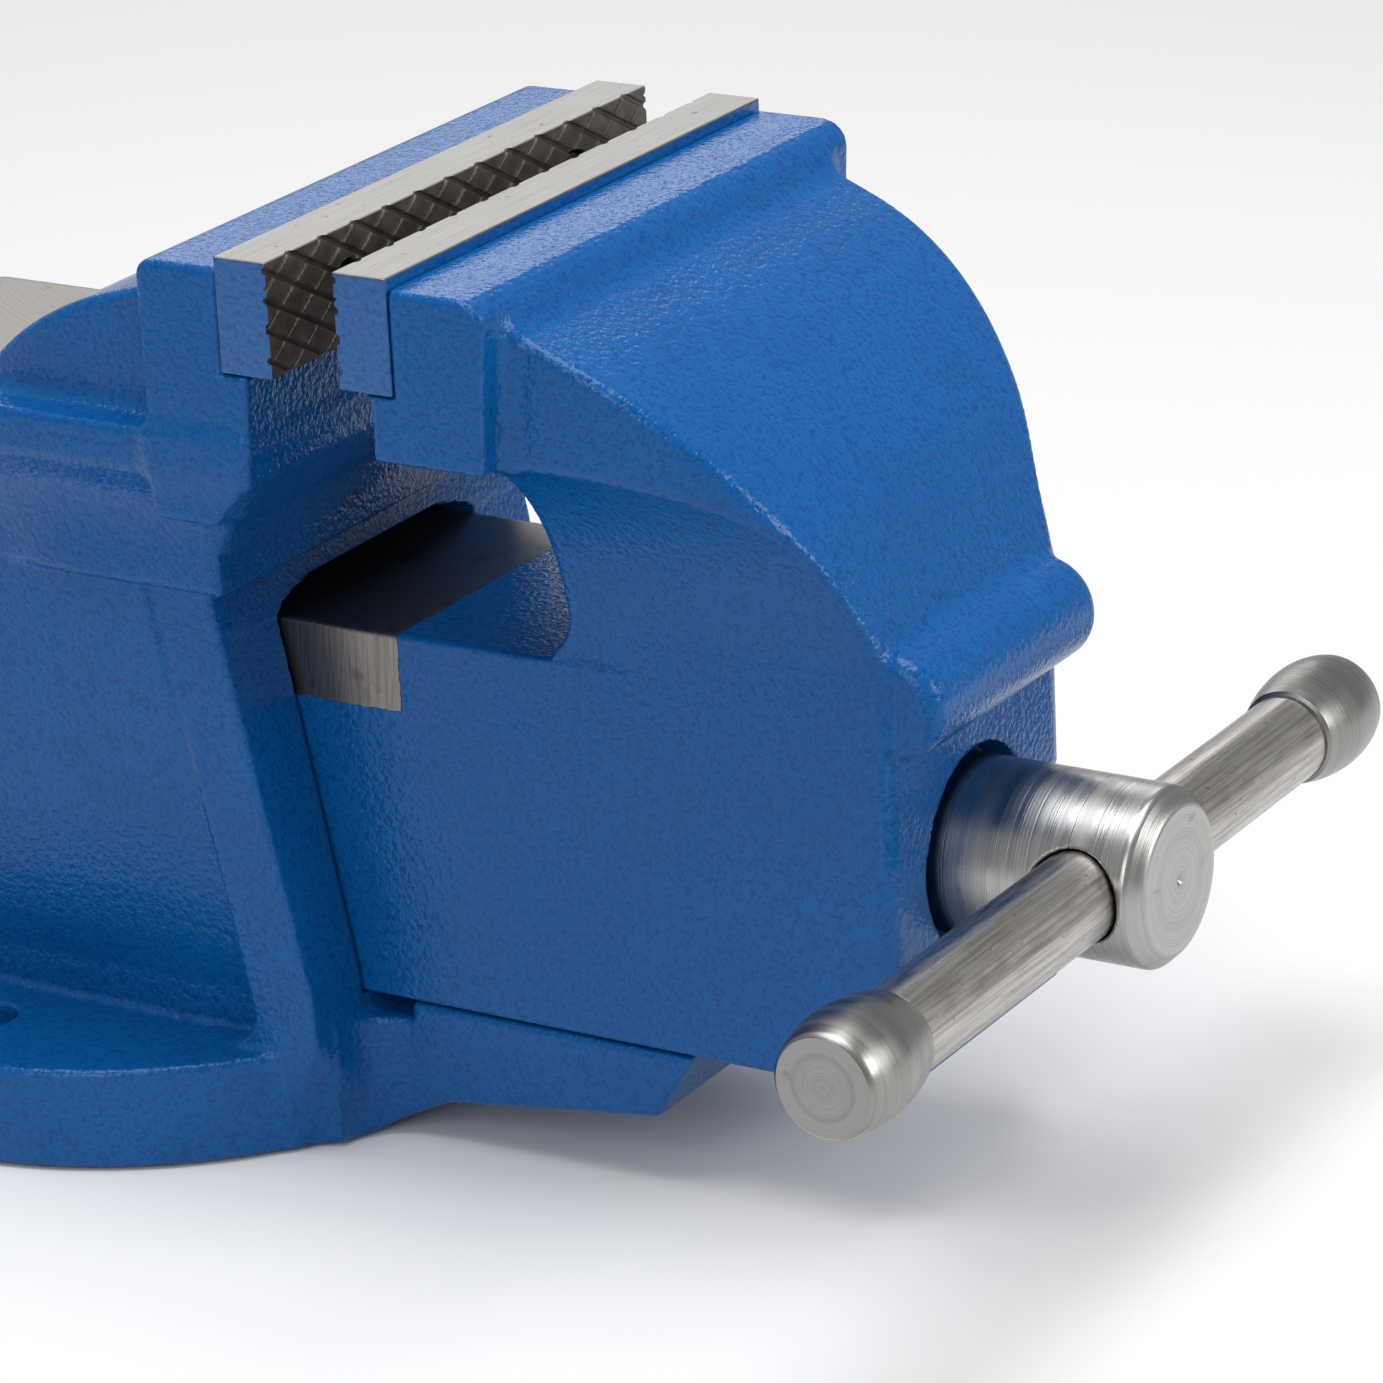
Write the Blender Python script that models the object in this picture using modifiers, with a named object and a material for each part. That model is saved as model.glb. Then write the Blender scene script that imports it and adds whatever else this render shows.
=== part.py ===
"""A 150 mm bench vise: fixed body on a round bolt-down base, sliding front jaw, screw, nut and tommy bar.

The object stands on Z = 0 with the middle of its round base at the origin. X runs across the jaws, -Y is the
handle end. Outlines are given in millimetres from the fixed jaw: y counts from its gripping face, negative
towards the handle, and z from the top of the jaw plates, negative downwards. The helpers turn them to metres.
"""

import math

import bmesh
import bpy
from mathutils import Matrix, Vector

MM = 0.001
GAP = 0.3  # between two pieces that touch

# Driving dimensions, in millimetres
JAW_WIDTH = 150.0
JAW_OPENING = 16.6
PLATE_THICK = 13.0
PLATE_HEIGHT = 25.2
PLATE_SCREW_X = 45.0
PLATE_SCREW_Z = -12.5
HEIGHT = 212.1
BASE_RADIUS = 93.0
BASE_THICK = 23.8
BASE_CENTRE_Y = 96.5
BASE_HOLE_RADIUS = 6.5
BASE_HOLE_CIRCLE = 68.0
SLIDE_HALF = 38.0
SLIDE_TOP = -93.0
SLIDE_FOOT = -179.4
SLIDE_REAR = 205.0
SLIDE_WALL = 10.0
TUNNEL_HALF = 39.0
TUNNEL_TOP = -92.4
TUNNEL_FLOOR = -179.9
SCREW_Z = -135.7
THREAD_RADIUS = 14.0
THREAD_DEPTH = 2.6
HEAD_RADIUS = 19.7
HEAD_FRONT = -168.9
HEAD_SHOULDER = -116.6
SCREW_TIP = 196.0
BAR_Y = -153.4
BAR_RADIUS = 9.92
BAR_HOLE_RADIUS = 10.3
BAR_LEFT = -97.4  # where the left knob's shoulder sits
BAR_RIGHT = 82.8
KNOB_LENGTH = 25.6
COUNTERBORE_RADIUS = 22.3

# Places that follow from them
HALF = JAW_WIDTH / 2
FRONT_PLATE_Y = -JAW_OPENING
CASTING_TOP = -2.6
PLATE_LEDGE = -PLATE_HEIGHT - GAP
BASE_Z = -HEIGHT
FOOT_Z = BASE_Z + 0.4  # the rim and the tongue stop just clear of the bench
FLANGE_TOP = -HEIGHT + BASE_THICK
BODY_FACE_Y = 7.1
FRONT_FACE_Y = -121.0
COUNTERBORE_FLOOR = FRONT_FACE_Y + 8.0
WALL_INNER_Y = FRONT_FACE_Y + 26.0
HOOD_HALF = 66.0
NUT_FRONT = 24.0
NUT_REAR = 62.0
NUT_BOLT_Y = (33.0, 53.0)
ANVIL_TOP = -56.0
HOUSING_REAR = 150.0

TO_WORLD = Matrix.Translation((0, -BASE_CENTRE_Y * MM, HEIGHT * MM)) @ Matrix.Scale(MM, 4)
PLANES = {
    "YZ": Matrix(((0, 0, 1, 0), (1, 0, 0, 0), (0, 1, 0, 0), (0, 0, 0, 1))),
    "XY": Matrix.Identity(4),
    "XZ": Matrix(((1, 0, 0, 0), (0, 0, -1, 0), (0, 1, 0, 0), (0, 0, 0, 1))),
}
AXES = {
    "X": Matrix.Rotation(math.pi / 2, 4, "Y"),
    "Y": Matrix.Rotation(-math.pi / 2, 4, "X"),
    "Z": Matrix.Identity(4),
}


# ---------------------------------------------------------------- scene and helpers


def clear_scene():
    for old in list(bpy.data.objects):
        bpy.data.objects.remove(old)


def new_collection(name):
    made = bpy.data.collections.new(name)
    bpy.context.scene.collection.children.link(made)
    return made


clear_scene()
PARTS = new_collection("bench_vise")
CUTTERS = new_collection("bench_vise_cutters")


def material(name, colour, roughness, metallic):
    made = bpy.data.materials.new(name)
    made.use_nodes = True
    shader = made.node_tree.nodes["Principled BSDF"]
    shader.inputs["Base Color"].default_value = (*colour, 1)
    shader.inputs["Roughness"].default_value = roughness
    shader.inputs["Metallic"].default_value = metallic
    return made


BLUE_PAINT = (0.020, 0.105, 0.370)
GROUND_STEEL = (0.42, 0.41, 0.40)
TURNED_STEEL = (0.55, 0.54, 0.52)
DARK_STEEL = (0.10, 0.10, 0.11)
BRONZE = (0.45, 0.30, 0.12)


def arc(a, b, radius, start, end, steps):
    """Points on a circle round (a, b), from one angle to another in degrees."""
    turns = (math.radians(start + (end - start) * i / steps) for i in range(steps + 1))
    return [(a + radius * math.cos(t), b + radius * math.sin(t)) for t in turns]


def mirrored(points):
    """An outline that is the same on both sides of x = 0, from the points of its right side."""
    return points + [(-a, b) for a, b in reversed(points)]


def tool_object(name, mesh):
    tool = bpy.data.objects.new(name, mesh)
    tool.hide_render = True
    tool.display_type = "WIRE"
    CUTTERS.objects.link(tool)
    return tool


def close_mesh(mesh, matrix):
    """Weld the mesh's loose caps, put it in its place and make its faces point out."""
    shape = bmesh.new()
    shape.from_mesh(mesh)
    bmesh.ops.transform(shape, matrix=matrix, verts=shape.verts)
    bmesh.ops.remove_doubles(shape, verts=shape.verts, dist=1e-7)
    bmesh.ops.recalc_face_normals(shape, faces=shape.faces)
    shape.to_mesh(mesh)
    shape.free()


def prism(name, outline, plane, low, high):
    """A flat outline in the YZ, XY or XZ plane, made thick from low to high along the third axis."""
    curve = bpy.data.curves.new(name, "CURVE")
    curve.dimensions = "2D"
    curve.fill_mode = "BOTH"
    curve.extrude = (high - low) / 2
    spline = curve.splines.new("POLY")
    spline.points.add(len(outline) - 1)
    for point, (a, b) in zip(spline.points, outline):
        point.co = (a, b, 0, 1)
    spline.use_cyclic_u = True
    guide = bpy.data.objects.new(name + "_outline", curve)
    CUTTERS.objects.link(guide)
    graph = bpy.context.evaluated_depsgraph_get()
    mesh = bpy.data.meshes.new_from_object(guide.evaluated_get(graph))
    bpy.data.objects.remove(guide)
    middle = (high + low) / 2 * (-1 if plane == "XZ" else 1)
    close_mesh(mesh, TO_WORLD @ PLANES[plane] @ Matrix.Translation((0, 0, middle)))
    return tool_object(name, mesh)


def rod(name, axis, centre, radius, length, sides=48):
    """A cylinder along an axis, centred on a point."""
    shape = bmesh.new()
    bmesh.ops.create_cone(
        shape, cap_ends=True, segments=sides, radius1=radius, radius2=radius, depth=length
    )
    mesh = bpy.data.meshes.new(name)
    shape.to_mesh(mesh)
    shape.free()
    close_mesh(mesh, TO_WORLD @ Matrix.Translation(centre) @ AXES[axis])
    return tool_object(name, mesh)


def turned(name, profile, axis, centre, steps=48):
    """A solid of revolution. The profile is (radius, place along the axis), from its far end to its near end."""
    mesh = bpy.data.meshes.new(name)
    points = [(radius, 0, along) for radius, along in profile]
    edges = [(i, i + 1) for i in range(len(points) - 1)]
    if profile[0][0] and profile[-1][0]:
        edges.append((len(points) - 1, 0))
    mesh.from_pydata(points, edges, [])
    piece = tool_object(name, mesh)
    screw = piece.modifiers.new("turn", "SCREW")
    screw.axis = "Z"
    screw.steps = steps
    screw.render_steps = steps
    screw.use_merge_vertices = True
    screw.merge_threshold = 1e-5
    graph = bpy.context.evaluated_depsgraph_get()
    whole = bpy.data.meshes.new_from_object(piece.evaluated_get(graph))
    piece.modifiers.remove(screw)
    piece.data = whole
    close_mesh(whole, TO_WORLD @ Matrix.Translation(centre) @ AXES[axis])
    return piece


def box(name, low, high):
    """A block between two opposite corners."""
    shape = bmesh.new()
    bmesh.ops.create_cube(shape, size=1)
    mesh = bpy.data.meshes.new(name)
    shape.to_mesh(mesh)
    shape.free()
    sides = Vector(high) - Vector(low)
    middle = (Vector(high) + Vector(low)) / 2
    close_mesh(mesh, TO_WORLD @ Matrix.Translation(middle) @ Matrix.Diagonal((*sides, 1)))
    return tool_object(name, mesh)


def boolean(target, operation, tools):
    """EXACT leaves open edges where the round flange meets the leaning rim, so the closed-mesh solver is used."""
    for tool in tools:
        step = target.modifiers.new(tool.name, "BOOLEAN")
        step.operation = operation
        step.object = tool
        step.solver = "MANIFOLD"
    return target


def joined(target, *tools):
    return boolean(target, "UNION", tools)


def cut(target, *tools):
    return boolean(target, "DIFFERENCE", tools)


def common(target, *tools):
    return boolean(target, "INTERSECT", tools)


def finished(piece, name, colour, roughness, metallic, parent=None):
    """Make the piece a plain mesh with its Booleans applied, move its origin to its parent and give it its finish."""
    graph = bpy.context.evaluated_depsgraph_get()
    mesh = bpy.data.meshes.new_from_object(piece.evaluated_get(graph))
    made = bpy.data.objects.new(name, mesh)
    mesh.name = name
    PARTS.objects.link(made)
    if parent:
        mesh.transform(Matrix.Translation(-parent.location))
        made.parent = parent
    mesh.materials.clear()
    mesh.materials.append(material(name, colour, roughness, metallic))
    mesh.shade_smooth()
    mesh.set_sharp_from_angle(angle=math.radians(32))
    return made


def axis_empty(name, y, z):
    """An empty on a joint's axis: the pieces that move with it are its children."""
    empty = bpy.data.objects.new(name, None)
    empty.empty_display_size = 0.02
    empty.location = TO_WORLD @ Vector((0, y, z))
    PARTS.objects.link(empty)
    return empty


# ---------------------------------------------------------------- shapes that both castings share


def hood_top(start, direction, lead_angle, lead_run, radius, last_angle, foot_z):
    """The hood's top line: a straight shallow lead, one arc, and a straight steep run down to foot_z."""
    y, z = start
    a0 = math.radians(lead_angle)
    a1 = math.radians(last_angle)
    points = [start]
    y += direction * lead_run
    z -= lead_run * math.tan(a0)
    steps = 12
    for i in range(steps + 1):
        a = a0 + (a1 - a0) * i / steps
        across = radius * (math.sin(a) - math.sin(a0))
        down = radius * (math.cos(a0) - math.cos(a))
        points.append((y + direction * across, z - down))
    end_y, end_z = points[-1]
    points.append((end_y + direction * (end_z - foot_z) / math.tan(a1), foot_z))
    return points


def hood_plan(root_y, straight_y, end_y, half, radius):
    """The hood seen from above: straight sides from root_y to straight_y, then drawn in on an arc up to end_y."""
    direction = 1 if end_y > root_y else -1
    reach = math.asin(abs(end_y - straight_y) / radius)
    side = [(half, root_y)]
    steps = 12
    for i in range(steps + 1):
        a = reach * i / steps
        inward = radius * (1 - math.cos(a))
        side.append((half - inward, straight_y + direction * radius * math.sin(a)))
    return mirrored(side)


def side_cove(name, inner, centre_x, centre_z, radius, low, high):
    """The hollow under a hood or a shoulder, on both sides: a quarter circle over a straight side."""
    side = [(inner, SLIDE_FOOT - 40)]
    side += arc(centre_x, centre_z, radius, 180, 90, 14)
    side += [(centre_x + 60, centre_z + radius), (centre_x + 60, SLIDE_FOOT - 40)]
    right = prism(name + "_right", side, "XZ", low, high)
    left = prism(name + "_left", [(-a, b) for a, b in side], "XZ", low, high)
    return left, right


def plate_screw_holes(name, y, radius, length):
    return [
        rod(f"{name}_{side}", "Y", (x, y, PLATE_SCREW_Z), radius, length, 24)
        for side, x in (("left", -PLATE_SCREW_X), ("right", PLATE_SCREW_X))
    ]


# ---------------------------------------------------------------- fixed body


def fixed_jaw():
    """The block behind the rear jaw plate, with the ledge that the plate stands on."""
    back = BODY_FACE_Y + 26.6
    outline = [(PLATE_THICK + GAP, CASTING_TOP), *arc(back - 4, CASTING_TOP - 4, 4, 90, 0, 5)]
    outline += [(back, -60), (18, -60), (9.4, -49.4), (7.9, -41), (BODY_FACE_Y, PLATE_LEDGE)]
    outline += [(PLATE_THICK + GAP, PLATE_LEDGE)]
    return prism("fixed_jaw_block", outline, "YZ", -HALF, HALF)


def rear_hood():
    """The rounded hump that braces the fixed jaw from behind."""
    top = hood_top((33.7, -10.6), 1, 15, 12.9, 88, 66, -80)
    outline = [(25, -10.6), *top, (25, -80)]
    hood = prism("rear_hood", outline, "YZ", -HALF, HALF)
    return common(hood, prism("rear_hood_plan", hood_plan(20, 60, 118, HOOD_HALF, 77.7), "XY", -90, 0))


def shoulder():
    """The rail along each side at jaw height, and the neck that narrows from it to the housing."""
    outline = [(9, -42), (9.4, -49.4), (31.5, -76), (32.3, -78), (29, -94), (104, -94), (104, -64)]
    outline += [(96, -50), (86, -41), (84, -40), (9, -40)]
    neck = prism("shoulder", outline, "YZ", -HALF - 5, HALF + 5)
    common(neck, prism("shoulder_plan", hood_plan(0, 75, 106, HALF, 41), "XY", -110, -20))
    return cut(neck, *side_cove("neck_cove", 58, 118, -91.5, 60, -10, 130))


def housing():
    """The box round the slide, with drafted side panels set in behind the front rim."""
    panel = [(48, -57.5), (63, -67), (60.3, -112), (58, -140), (54, -168), (51.5, -182), (51.5, -205)]
    walls = prism("housing", mirrored(panel), "XZ", 20, 172)
    side = [(48.3, -50), (48.3, -77), (30, -174), (28, -205), (HOUSING_REAR, -205)]
    side += [(HOUSING_REAR, -112), (168, -80), (168, -50)]
    return common(walls, prism("housing_side", side, "YZ", -HALF, HALF))


def front_rim():
    """The frame round the slide's opening. It leans forward towards the base and is trimmed to it at the foot."""
    outline = [(32.3, -77), (14.1, -173.7), (12, -205.7), (12, FOOT_Z), (30, FOOT_Z), (30, -174), (48.3, -77)]
    rim = prism("front_rim", outline, "YZ", -HALF, HALF)
    widths = [(61, -70), (59, -174), (59, BASE_Z - 1)]
    common(rim, prism("front_rim_width", mirrored(widths), "XZ", 0, 60))
    trimmed = BASE_RADIUS - 0.6
    envelope = [(0, -60), (140, -60), (140, -178), (102, -184), (trimmed, -204)]
    envelope += [(trimmed, BASE_Z - 1), (0, BASE_Z - 1)]
    return common(rim, turned("front_rim_foot", envelope, "Z", (0, BASE_CENTRE_Y, 0), 96))


def base_flange():
    """The round foot, with a rounded top edge."""
    rounding = 2.0
    edge = arc(BASE_RADIUS - rounding, FLANGE_TOP - rounding, rounding, 90, 0, 3)
    profile = [(0, FLANGE_TOP), *edge, (BASE_RADIUS, BASE_Z), (0, BASE_Z)]
    return turned("base_flange", profile, "Z", (0, BASE_CENTRE_Y, 0), 96)


def tongue():
    """The shelf under the front jaw, which fans out into the rim. A slot at its root clears the slide's heel."""
    side = [(34, TUNNEL_FLOOR), (15, TUNNEL_FLOOR), (15, -184), (1.6, -184), (1.6, TUNNEL_FLOOR)]
    side += [(-70.6, TUNNEL_FLOOR), (-61, -195.4), (-6.5, -202.7), (12, FOOT_Z), (34, FOOT_Z)]
    shelf = prism("tongue", side, "YZ", -HALF, HALF)
    half = SLIDE_HALF + 0.5
    plan = [(half, -90), *arc(half + 12, 2, 12, 180, 90, 6), (half + 12, 40)]
    return common(shelf, prism("tongue_plan", mirrored(plan), "XY", -230, -150))


def anvil():
    """The flat pad for hammering behind the hood."""
    outline = [(48, 90), *arc(44, 164, 4, 0, 90, 4)]
    return prism("anvil", mirrored(outline), "XY", -76, ANVIL_TOP)


def bench_bolt_holes():
    holes = []
    for index, angle in enumerate((-90, 90, 0)):
        a = math.radians(angle)
        x = BASE_HOLE_CIRCLE * math.sin(a)
        y = BASE_CENTRE_Y + BASE_HOLE_CIRCLE * math.cos(a)
        holes.append(rod(f"bench_bolt_hole_{index}", "Z", (x, y, -200), BASE_HOLE_RADIUS, 60, 24))
    return holes


def nut_bolt_holes():
    holes = []
    for y in NUT_BOLT_Y:
        holes.append(rod(f"nut_bolt_hole_{y:.0f}", "Z", (0, y, -190), 4.6, 60, 20))
        holes.append(rod(f"nut_bolt_recess_{y:.0f}", "Z", (0, y, -204), 8.8, 20, 32))
    return holes


def body_casting():
    body = fixed_jaw()
    joined(body, rear_hood(), shoulder(), housing(), anvil(), front_rim(), base_flange(), tongue())
    cut(body, box("tunnel", (-TUNNEL_HALF, 11, TUNNEL_FLOOR), (TUNNEL_HALF, 190, TUNNEL_TOP)))
    cut(body, box("mouth_relief", (-43, 10, -97), (43, 60, -88)))
    cut(body, *bench_bolt_holes(), *nut_bolt_holes())
    cut(body, *plate_screw_holes("rear_thread_hole", PLATE_THICK + 8, 3.3, 22))
    return finished(body, "body_casting", BLUE_PAINT, 0.32, 0.0)


# ---------------------------------------------------------------- sliding jaw


def sliding_jaw_block():
    """The block in front of the front jaw plate."""
    front = -52.3
    outline = [(FRONT_PLATE_Y - PLATE_THICK - GAP, CASTING_TOP)]
    outline += arc(front + 6, CASTING_TOP - 6, 6, 90, 180, 6)
    outline += [(-50.3, -40), (-23.7, -40), (-23.7, PLATE_LEDGE)]
    outline += [(FRONT_PLATE_Y - PLATE_THICK - GAP, PLATE_LEDGE)]
    return prism("sliding_jaw_block", outline, "YZ", -HALF, HALF)


def front_hood():
    """The big rounded hood between the jaw and the screw, hollowed under its side walls."""
    top = hood_top((-52.3, -10.6), -1, 23, 13, 92, 66, -84)
    outline = [(-44, -10.6), *top, (-121, -84), (-121, -130), (-30, -130), (-30, -50), (-44, -50)]
    hood = prism("front_hood", outline, "YZ", -HALF, HALF)
    common(hood, prism("front_hood_plan", hood_plan(-40, -61.3, -123.5, HOOD_HALF, 77.7), "XY", -140, 0))
    return cut(hood, *side_cove("hood_cove", SLIDE_HALF, 98, -91, 60, -140, 0))


def hood_root_fillets():
    """The vertical fillet where each hood wall meets the jaw block."""
    corner = [(HOOD_HALF - 4, -48), (72, -48), *arc(72, -57, 6, 90, 180, 5), (HOOD_HALF - 4, -57)]
    right = prism("hood_root_right", corner, "XY", -39.9, -13.5)
    left = prism("hood_root_left", [(-a, b) for a, b in corner], "XY", -39.9, -13.5)
    return left, right


def lip():
    """The half-round bead at the hood's foot, with rounded ends."""
    half = 36.3
    radius = 11.7
    end = 4.0
    tip = arc(radius - end, half - end, end, 90, 0, 3)
    profile = [(0, half), *tip, *[(r, -a) for r, a in reversed(tip)], (0, -half)]
    return turned("lip", profile, "X", (0, -120.9, -92.9), 40)


def slide_bar():
    """The hollow square bar that runs through the body, one casting with the front jaw."""
    plan = [(SLIDE_HALF, SLIDE_REAR), *arc(SLIDE_HALF - 5, FRONT_FACE_Y + 5, 5, 0, -90, 4)]
    bar = prism("slide_bar", mirrored(plan), "XY", SLIDE_FOOT, SLIDE_TOP)
    front = [(SLIDE_HALF, -60), *arc(SLIDE_HALF - 5, FRONT_FACE_Y + 5, 5, 0, -90, 4)]
    return joined(bar, prism("front_wall", mirrored(front), "XY", -120, -88))


def throat():
    """The gap under the jaw, right through the casting from side to side."""
    outline = [(20, -40), *arc(-39.2, -46, 6, 90, 180, 5), *arc(-34.2, -82, 11, 180, 270, 7), (20, SLIDE_TOP)]
    return prism("throat", outline, "YZ", -HALF - 10, HALF + 10)


def slide_channel():
    """The slot inside the bar, open below and behind, for the screw and its nut."""
    inner = SLIDE_HALF - SLIDE_WALL
    return box("slide_channel", (-inner, WALL_INNER_Y, -190), (inner, 220, SLIDE_TOP - 12))


def sliding_jaw(carrier):
    jaw = slide_bar()
    joined(jaw, front_hood())
    cut(jaw, throat())
    joined(jaw, sliding_jaw_block(), *hood_root_fillets(), lip())
    cut(jaw, slide_channel())
    screw_middle = (0, FRONT_FACE_Y, SCREW_Z)
    cut(jaw, rod("screw_bore", "Y", screw_middle, THREAD_RADIUS + 0.6, 80))
    cut(jaw, rod("screw_counterbore", "Y", screw_middle, COUNTERBORE_RADIUS, 16, 64))
    front_holes = FRONT_PLATE_Y - PLATE_THICK - 8
    cut(jaw, *plate_screw_holes("front_thread_hole", front_holes, 3.3, 22))
    return finished(jaw, "sliding_jaw", BLUE_PAINT, 0.32, 0.0, carrier)


# ---------------------------------------------------------------- jaw plates and their screws


def jaw_plate(name, grip_y, direction, parent=None):
    """A hard steel plate. The screw heads sink into it from its gripping face."""
    back_y = grip_y + direction * PLATE_THICK
    low_y, high_y = sorted((grip_y, back_y))
    plate = box(name + "_blank", (-HALF, low_y, -PLATE_HEIGHT), (HALF, high_y, 0))
    middle = (low_y + high_y) / 2
    cut(plate, *plate_screw_holes(name + "_hole", middle, 3.4, PLATE_THICK + 4))
    cut(plate, *plate_screw_holes(name + "_sink", grip_y, 5.4, 16))
    return finished(plate, name, GROUND_STEEL, 0.45, 1.0, parent)


def socket_screw(name, place, axis_sign, head_radius, head, radius, length, axis, parent=None):
    """A cylinder-head screw with a hexagon socket. Its head is at axis_sign's end of the axis."""
    top = [(0, head), (head_radius - 0.6, head), (head_radius, head - 0.6), (head_radius, 0)]
    profile = top + [(radius, 0), (radius, -length + 1), (radius - 1, -length), (0, -length)]
    if axis_sign < 0:
        profile = [(r, -a) for r, a in reversed(profile)]
    screw = turned(name + "_blank", profile, axis, place, 24)
    step = Vector(place)
    step["XYZ".index(axis)] += axis_sign * head
    socket = rod(name + "_socket", axis, step, head_radius * 0.5, head * 1.1, 6)
    return finished(cut(screw, socket), name, DARK_STEEL, 0.4, 1.0, parent)


def jaw_plate_screws(name, grip_y, direction, parent=None):
    seat_y = grip_y + direction * (8.0 - GAP)
    for side, x in (("left", -PLATE_SCREW_X), ("right", PLATE_SCREW_X)):
        place = (x, seat_y, PLATE_SCREW_Z)
        socket_screw(f"{name}_{side}", place, -direction, 5.0, 6.0, 3.0, 20, "Y", parent)


# ---------------------------------------------------------------- screw, bar and knobs


def main_screw(spindle):
    """Turned steel: a plain head with a cross hole, a plain neck in the jaw's bore, and the threaded length."""
    chamfer = 3.5
    root = THREAD_RADIUS - THREAD_DEPTH
    profile = [(0, SCREW_TIP), (root - 1, SCREW_TIP), (root, SCREW_TIP - 3)]
    profile += [(root, SCREW_TIP - 8), (THREAD_RADIUS, SCREW_TIP - 11), (THREAD_RADIUS, -49)]
    profile += [(root, -52), (root, -55), (THREAD_RADIUS, -56), (THREAD_RADIUS, HEAD_SHOULDER)]
    profile += [(HEAD_RADIUS, HEAD_SHOULDER), (HEAD_RADIUS, HEAD_FRONT + chamfer)]
    profile += [(HEAD_RADIUS - chamfer, HEAD_FRONT), (0, HEAD_FRONT)]
    screw = turned("main_screw_blank", profile, "Y", (0, 0, SCREW_Z), 48)
    cut(screw, rod("bar_hole", "X", (0, BAR_Y, SCREW_Z), BAR_HOLE_RADIUS, 60, 40))
    cut(screw, rod("pin_hole", "X", (0, COLLAR_PIN_Y, SCREW_Z), 2.8, 60, 16))
    return finished(screw, "main_screw", TURNED_STEEL, 0.30, 1.0, spindle)


def tommy_bar(spindle):
    """The sliding bar, with a thinner spigot at each end inside its knob."""
    spigot = 6.0
    reach = 18.0
    profile = [(0, BAR_RIGHT + reach), (spigot, BAR_RIGHT + reach), (spigot, BAR_RIGHT - GAP)]
    profile += [(BAR_RADIUS, BAR_RIGHT - GAP), (BAR_RADIUS, BAR_LEFT + GAP), (spigot, BAR_LEFT + GAP)]
    profile += [(spigot, BAR_LEFT - reach), (0, BAR_LEFT - reach)]
    bar = turned("tommy_bar_blank", profile, "X", (0, BAR_Y, SCREW_Z), 48)
    return finished(bar, "tommy_bar", TURNED_STEEL, 0.35, 1.0, spindle)


def tommy_knob(name, shoulder_x, direction, spindle):
    """A barrel-shaped end knob: widest a little way in from its flat end face."""
    length = KNOB_LENGTH
    outer = []
    steps = 10
    widest = 14.6
    for i in range(steps + 1):
        along = length * i / steps
        reach = widest if along < widest else length - widest
        swell = ((along - widest) / reach) ** 2
        low = 10.7 if along < widest else 11.0
        outer.append((13.0 - (13.0 - low) * swell, along))
    bore = 6.0 + GAP
    profile = [(0, length), *reversed(outer), (bore, 0), (bore, 18 + 2 * GAP), (0, 18 + 2 * GAP)]
    if direction < 0:
        profile = [(r, -a) for r, a in reversed(profile)]
    knob = turned(name + "_blank", profile, "X", (shoulder_x, BAR_Y, SCREW_Z), 40)
    return finished(knob, name, TURNED_STEEL, 0.38, 1.0, spindle)


# ---------------------------------------------------------------- pieces on the screw's neck

SPRING_WASHER_Y = WALL_INNER_Y + GAP
SPRING_START = SPRING_WASHER_Y + 2.5 + GAP
SPRING_LENGTH = 21.0
SPRING_WIRE = 1.8
SPRING_COIL = 17.6
SPRING_TURNS = 4
COLLAR_Y = SPRING_START + SPRING_LENGTH + GAP
COLLAR_LENGTH = 11.0
COLLAR_PIN_Y = COLLAR_Y + COLLAR_LENGTH / 2


def ring(name, inner, outer, low, high, colour, roughness, parent):
    bevel = 0.4
    profile = [(inner, high), (outer - bevel, high), (outer, high - bevel)]
    profile += [(outer, low + bevel), (outer - bevel, low), (inner, low)]
    made = turned(name + "_blank", profile, "Y", (0, 0, SCREW_Z), 48)
    if name == "retaining_collar":
        cut(made, rod("collar_pin_hole", "X", (0, COLLAR_PIN_Y, SCREW_Z), 2.8, 60, 16))
    return finished(made, name, colour, roughness, 1.0, parent)


def retaining_spring(spindle):
    """A helical compression spring that keeps the front jaw against the screw's head."""
    curve = bpy.data.curves.new("retaining_spring_wire", "CURVE")
    curve.dimensions = "3D"
    curve.bevel_depth = SPRING_WIRE
    curve.bevel_resolution = 1
    curve.use_fill_caps = True
    per_turn = 18
    count = SPRING_TURNS * per_turn
    spline = curve.splines.new("POLY")
    spline.points.add(count)
    for i, point in enumerate(spline.points):
        angle = 2 * math.pi * i / per_turn
        along = SPRING_START + SPRING_WIRE + (SPRING_LENGTH - 2 * SPRING_WIRE) * i / count
        point.co = (SPRING_COIL * math.cos(angle), along, SCREW_Z + SPRING_COIL * math.sin(angle), 1)
    guide = bpy.data.objects.new("retaining_spring_wire", curve)
    CUTTERS.objects.link(guide)
    graph = bpy.context.evaluated_depsgraph_get()
    mesh = bpy.data.meshes.new_from_object(guide.evaluated_get(graph))
    bpy.data.objects.remove(guide)
    close_mesh(mesh, TO_WORLD)
    return finished(tool_object("spring_blank", mesh), "retaining_spring", DARK_STEEL, 0.35, 1.0, spindle)


def collar_pin(spindle):
    pin = rod("collar_pin_blank", "X", (0, COLLAR_PIN_Y, SCREW_Z), 2.5, 2 * 19.5, 16)
    return finished(pin, "collar_pin", DARK_STEEL, 0.35, 1.0, spindle)


# ---------------------------------------------------------------- nut and its bolts


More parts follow.
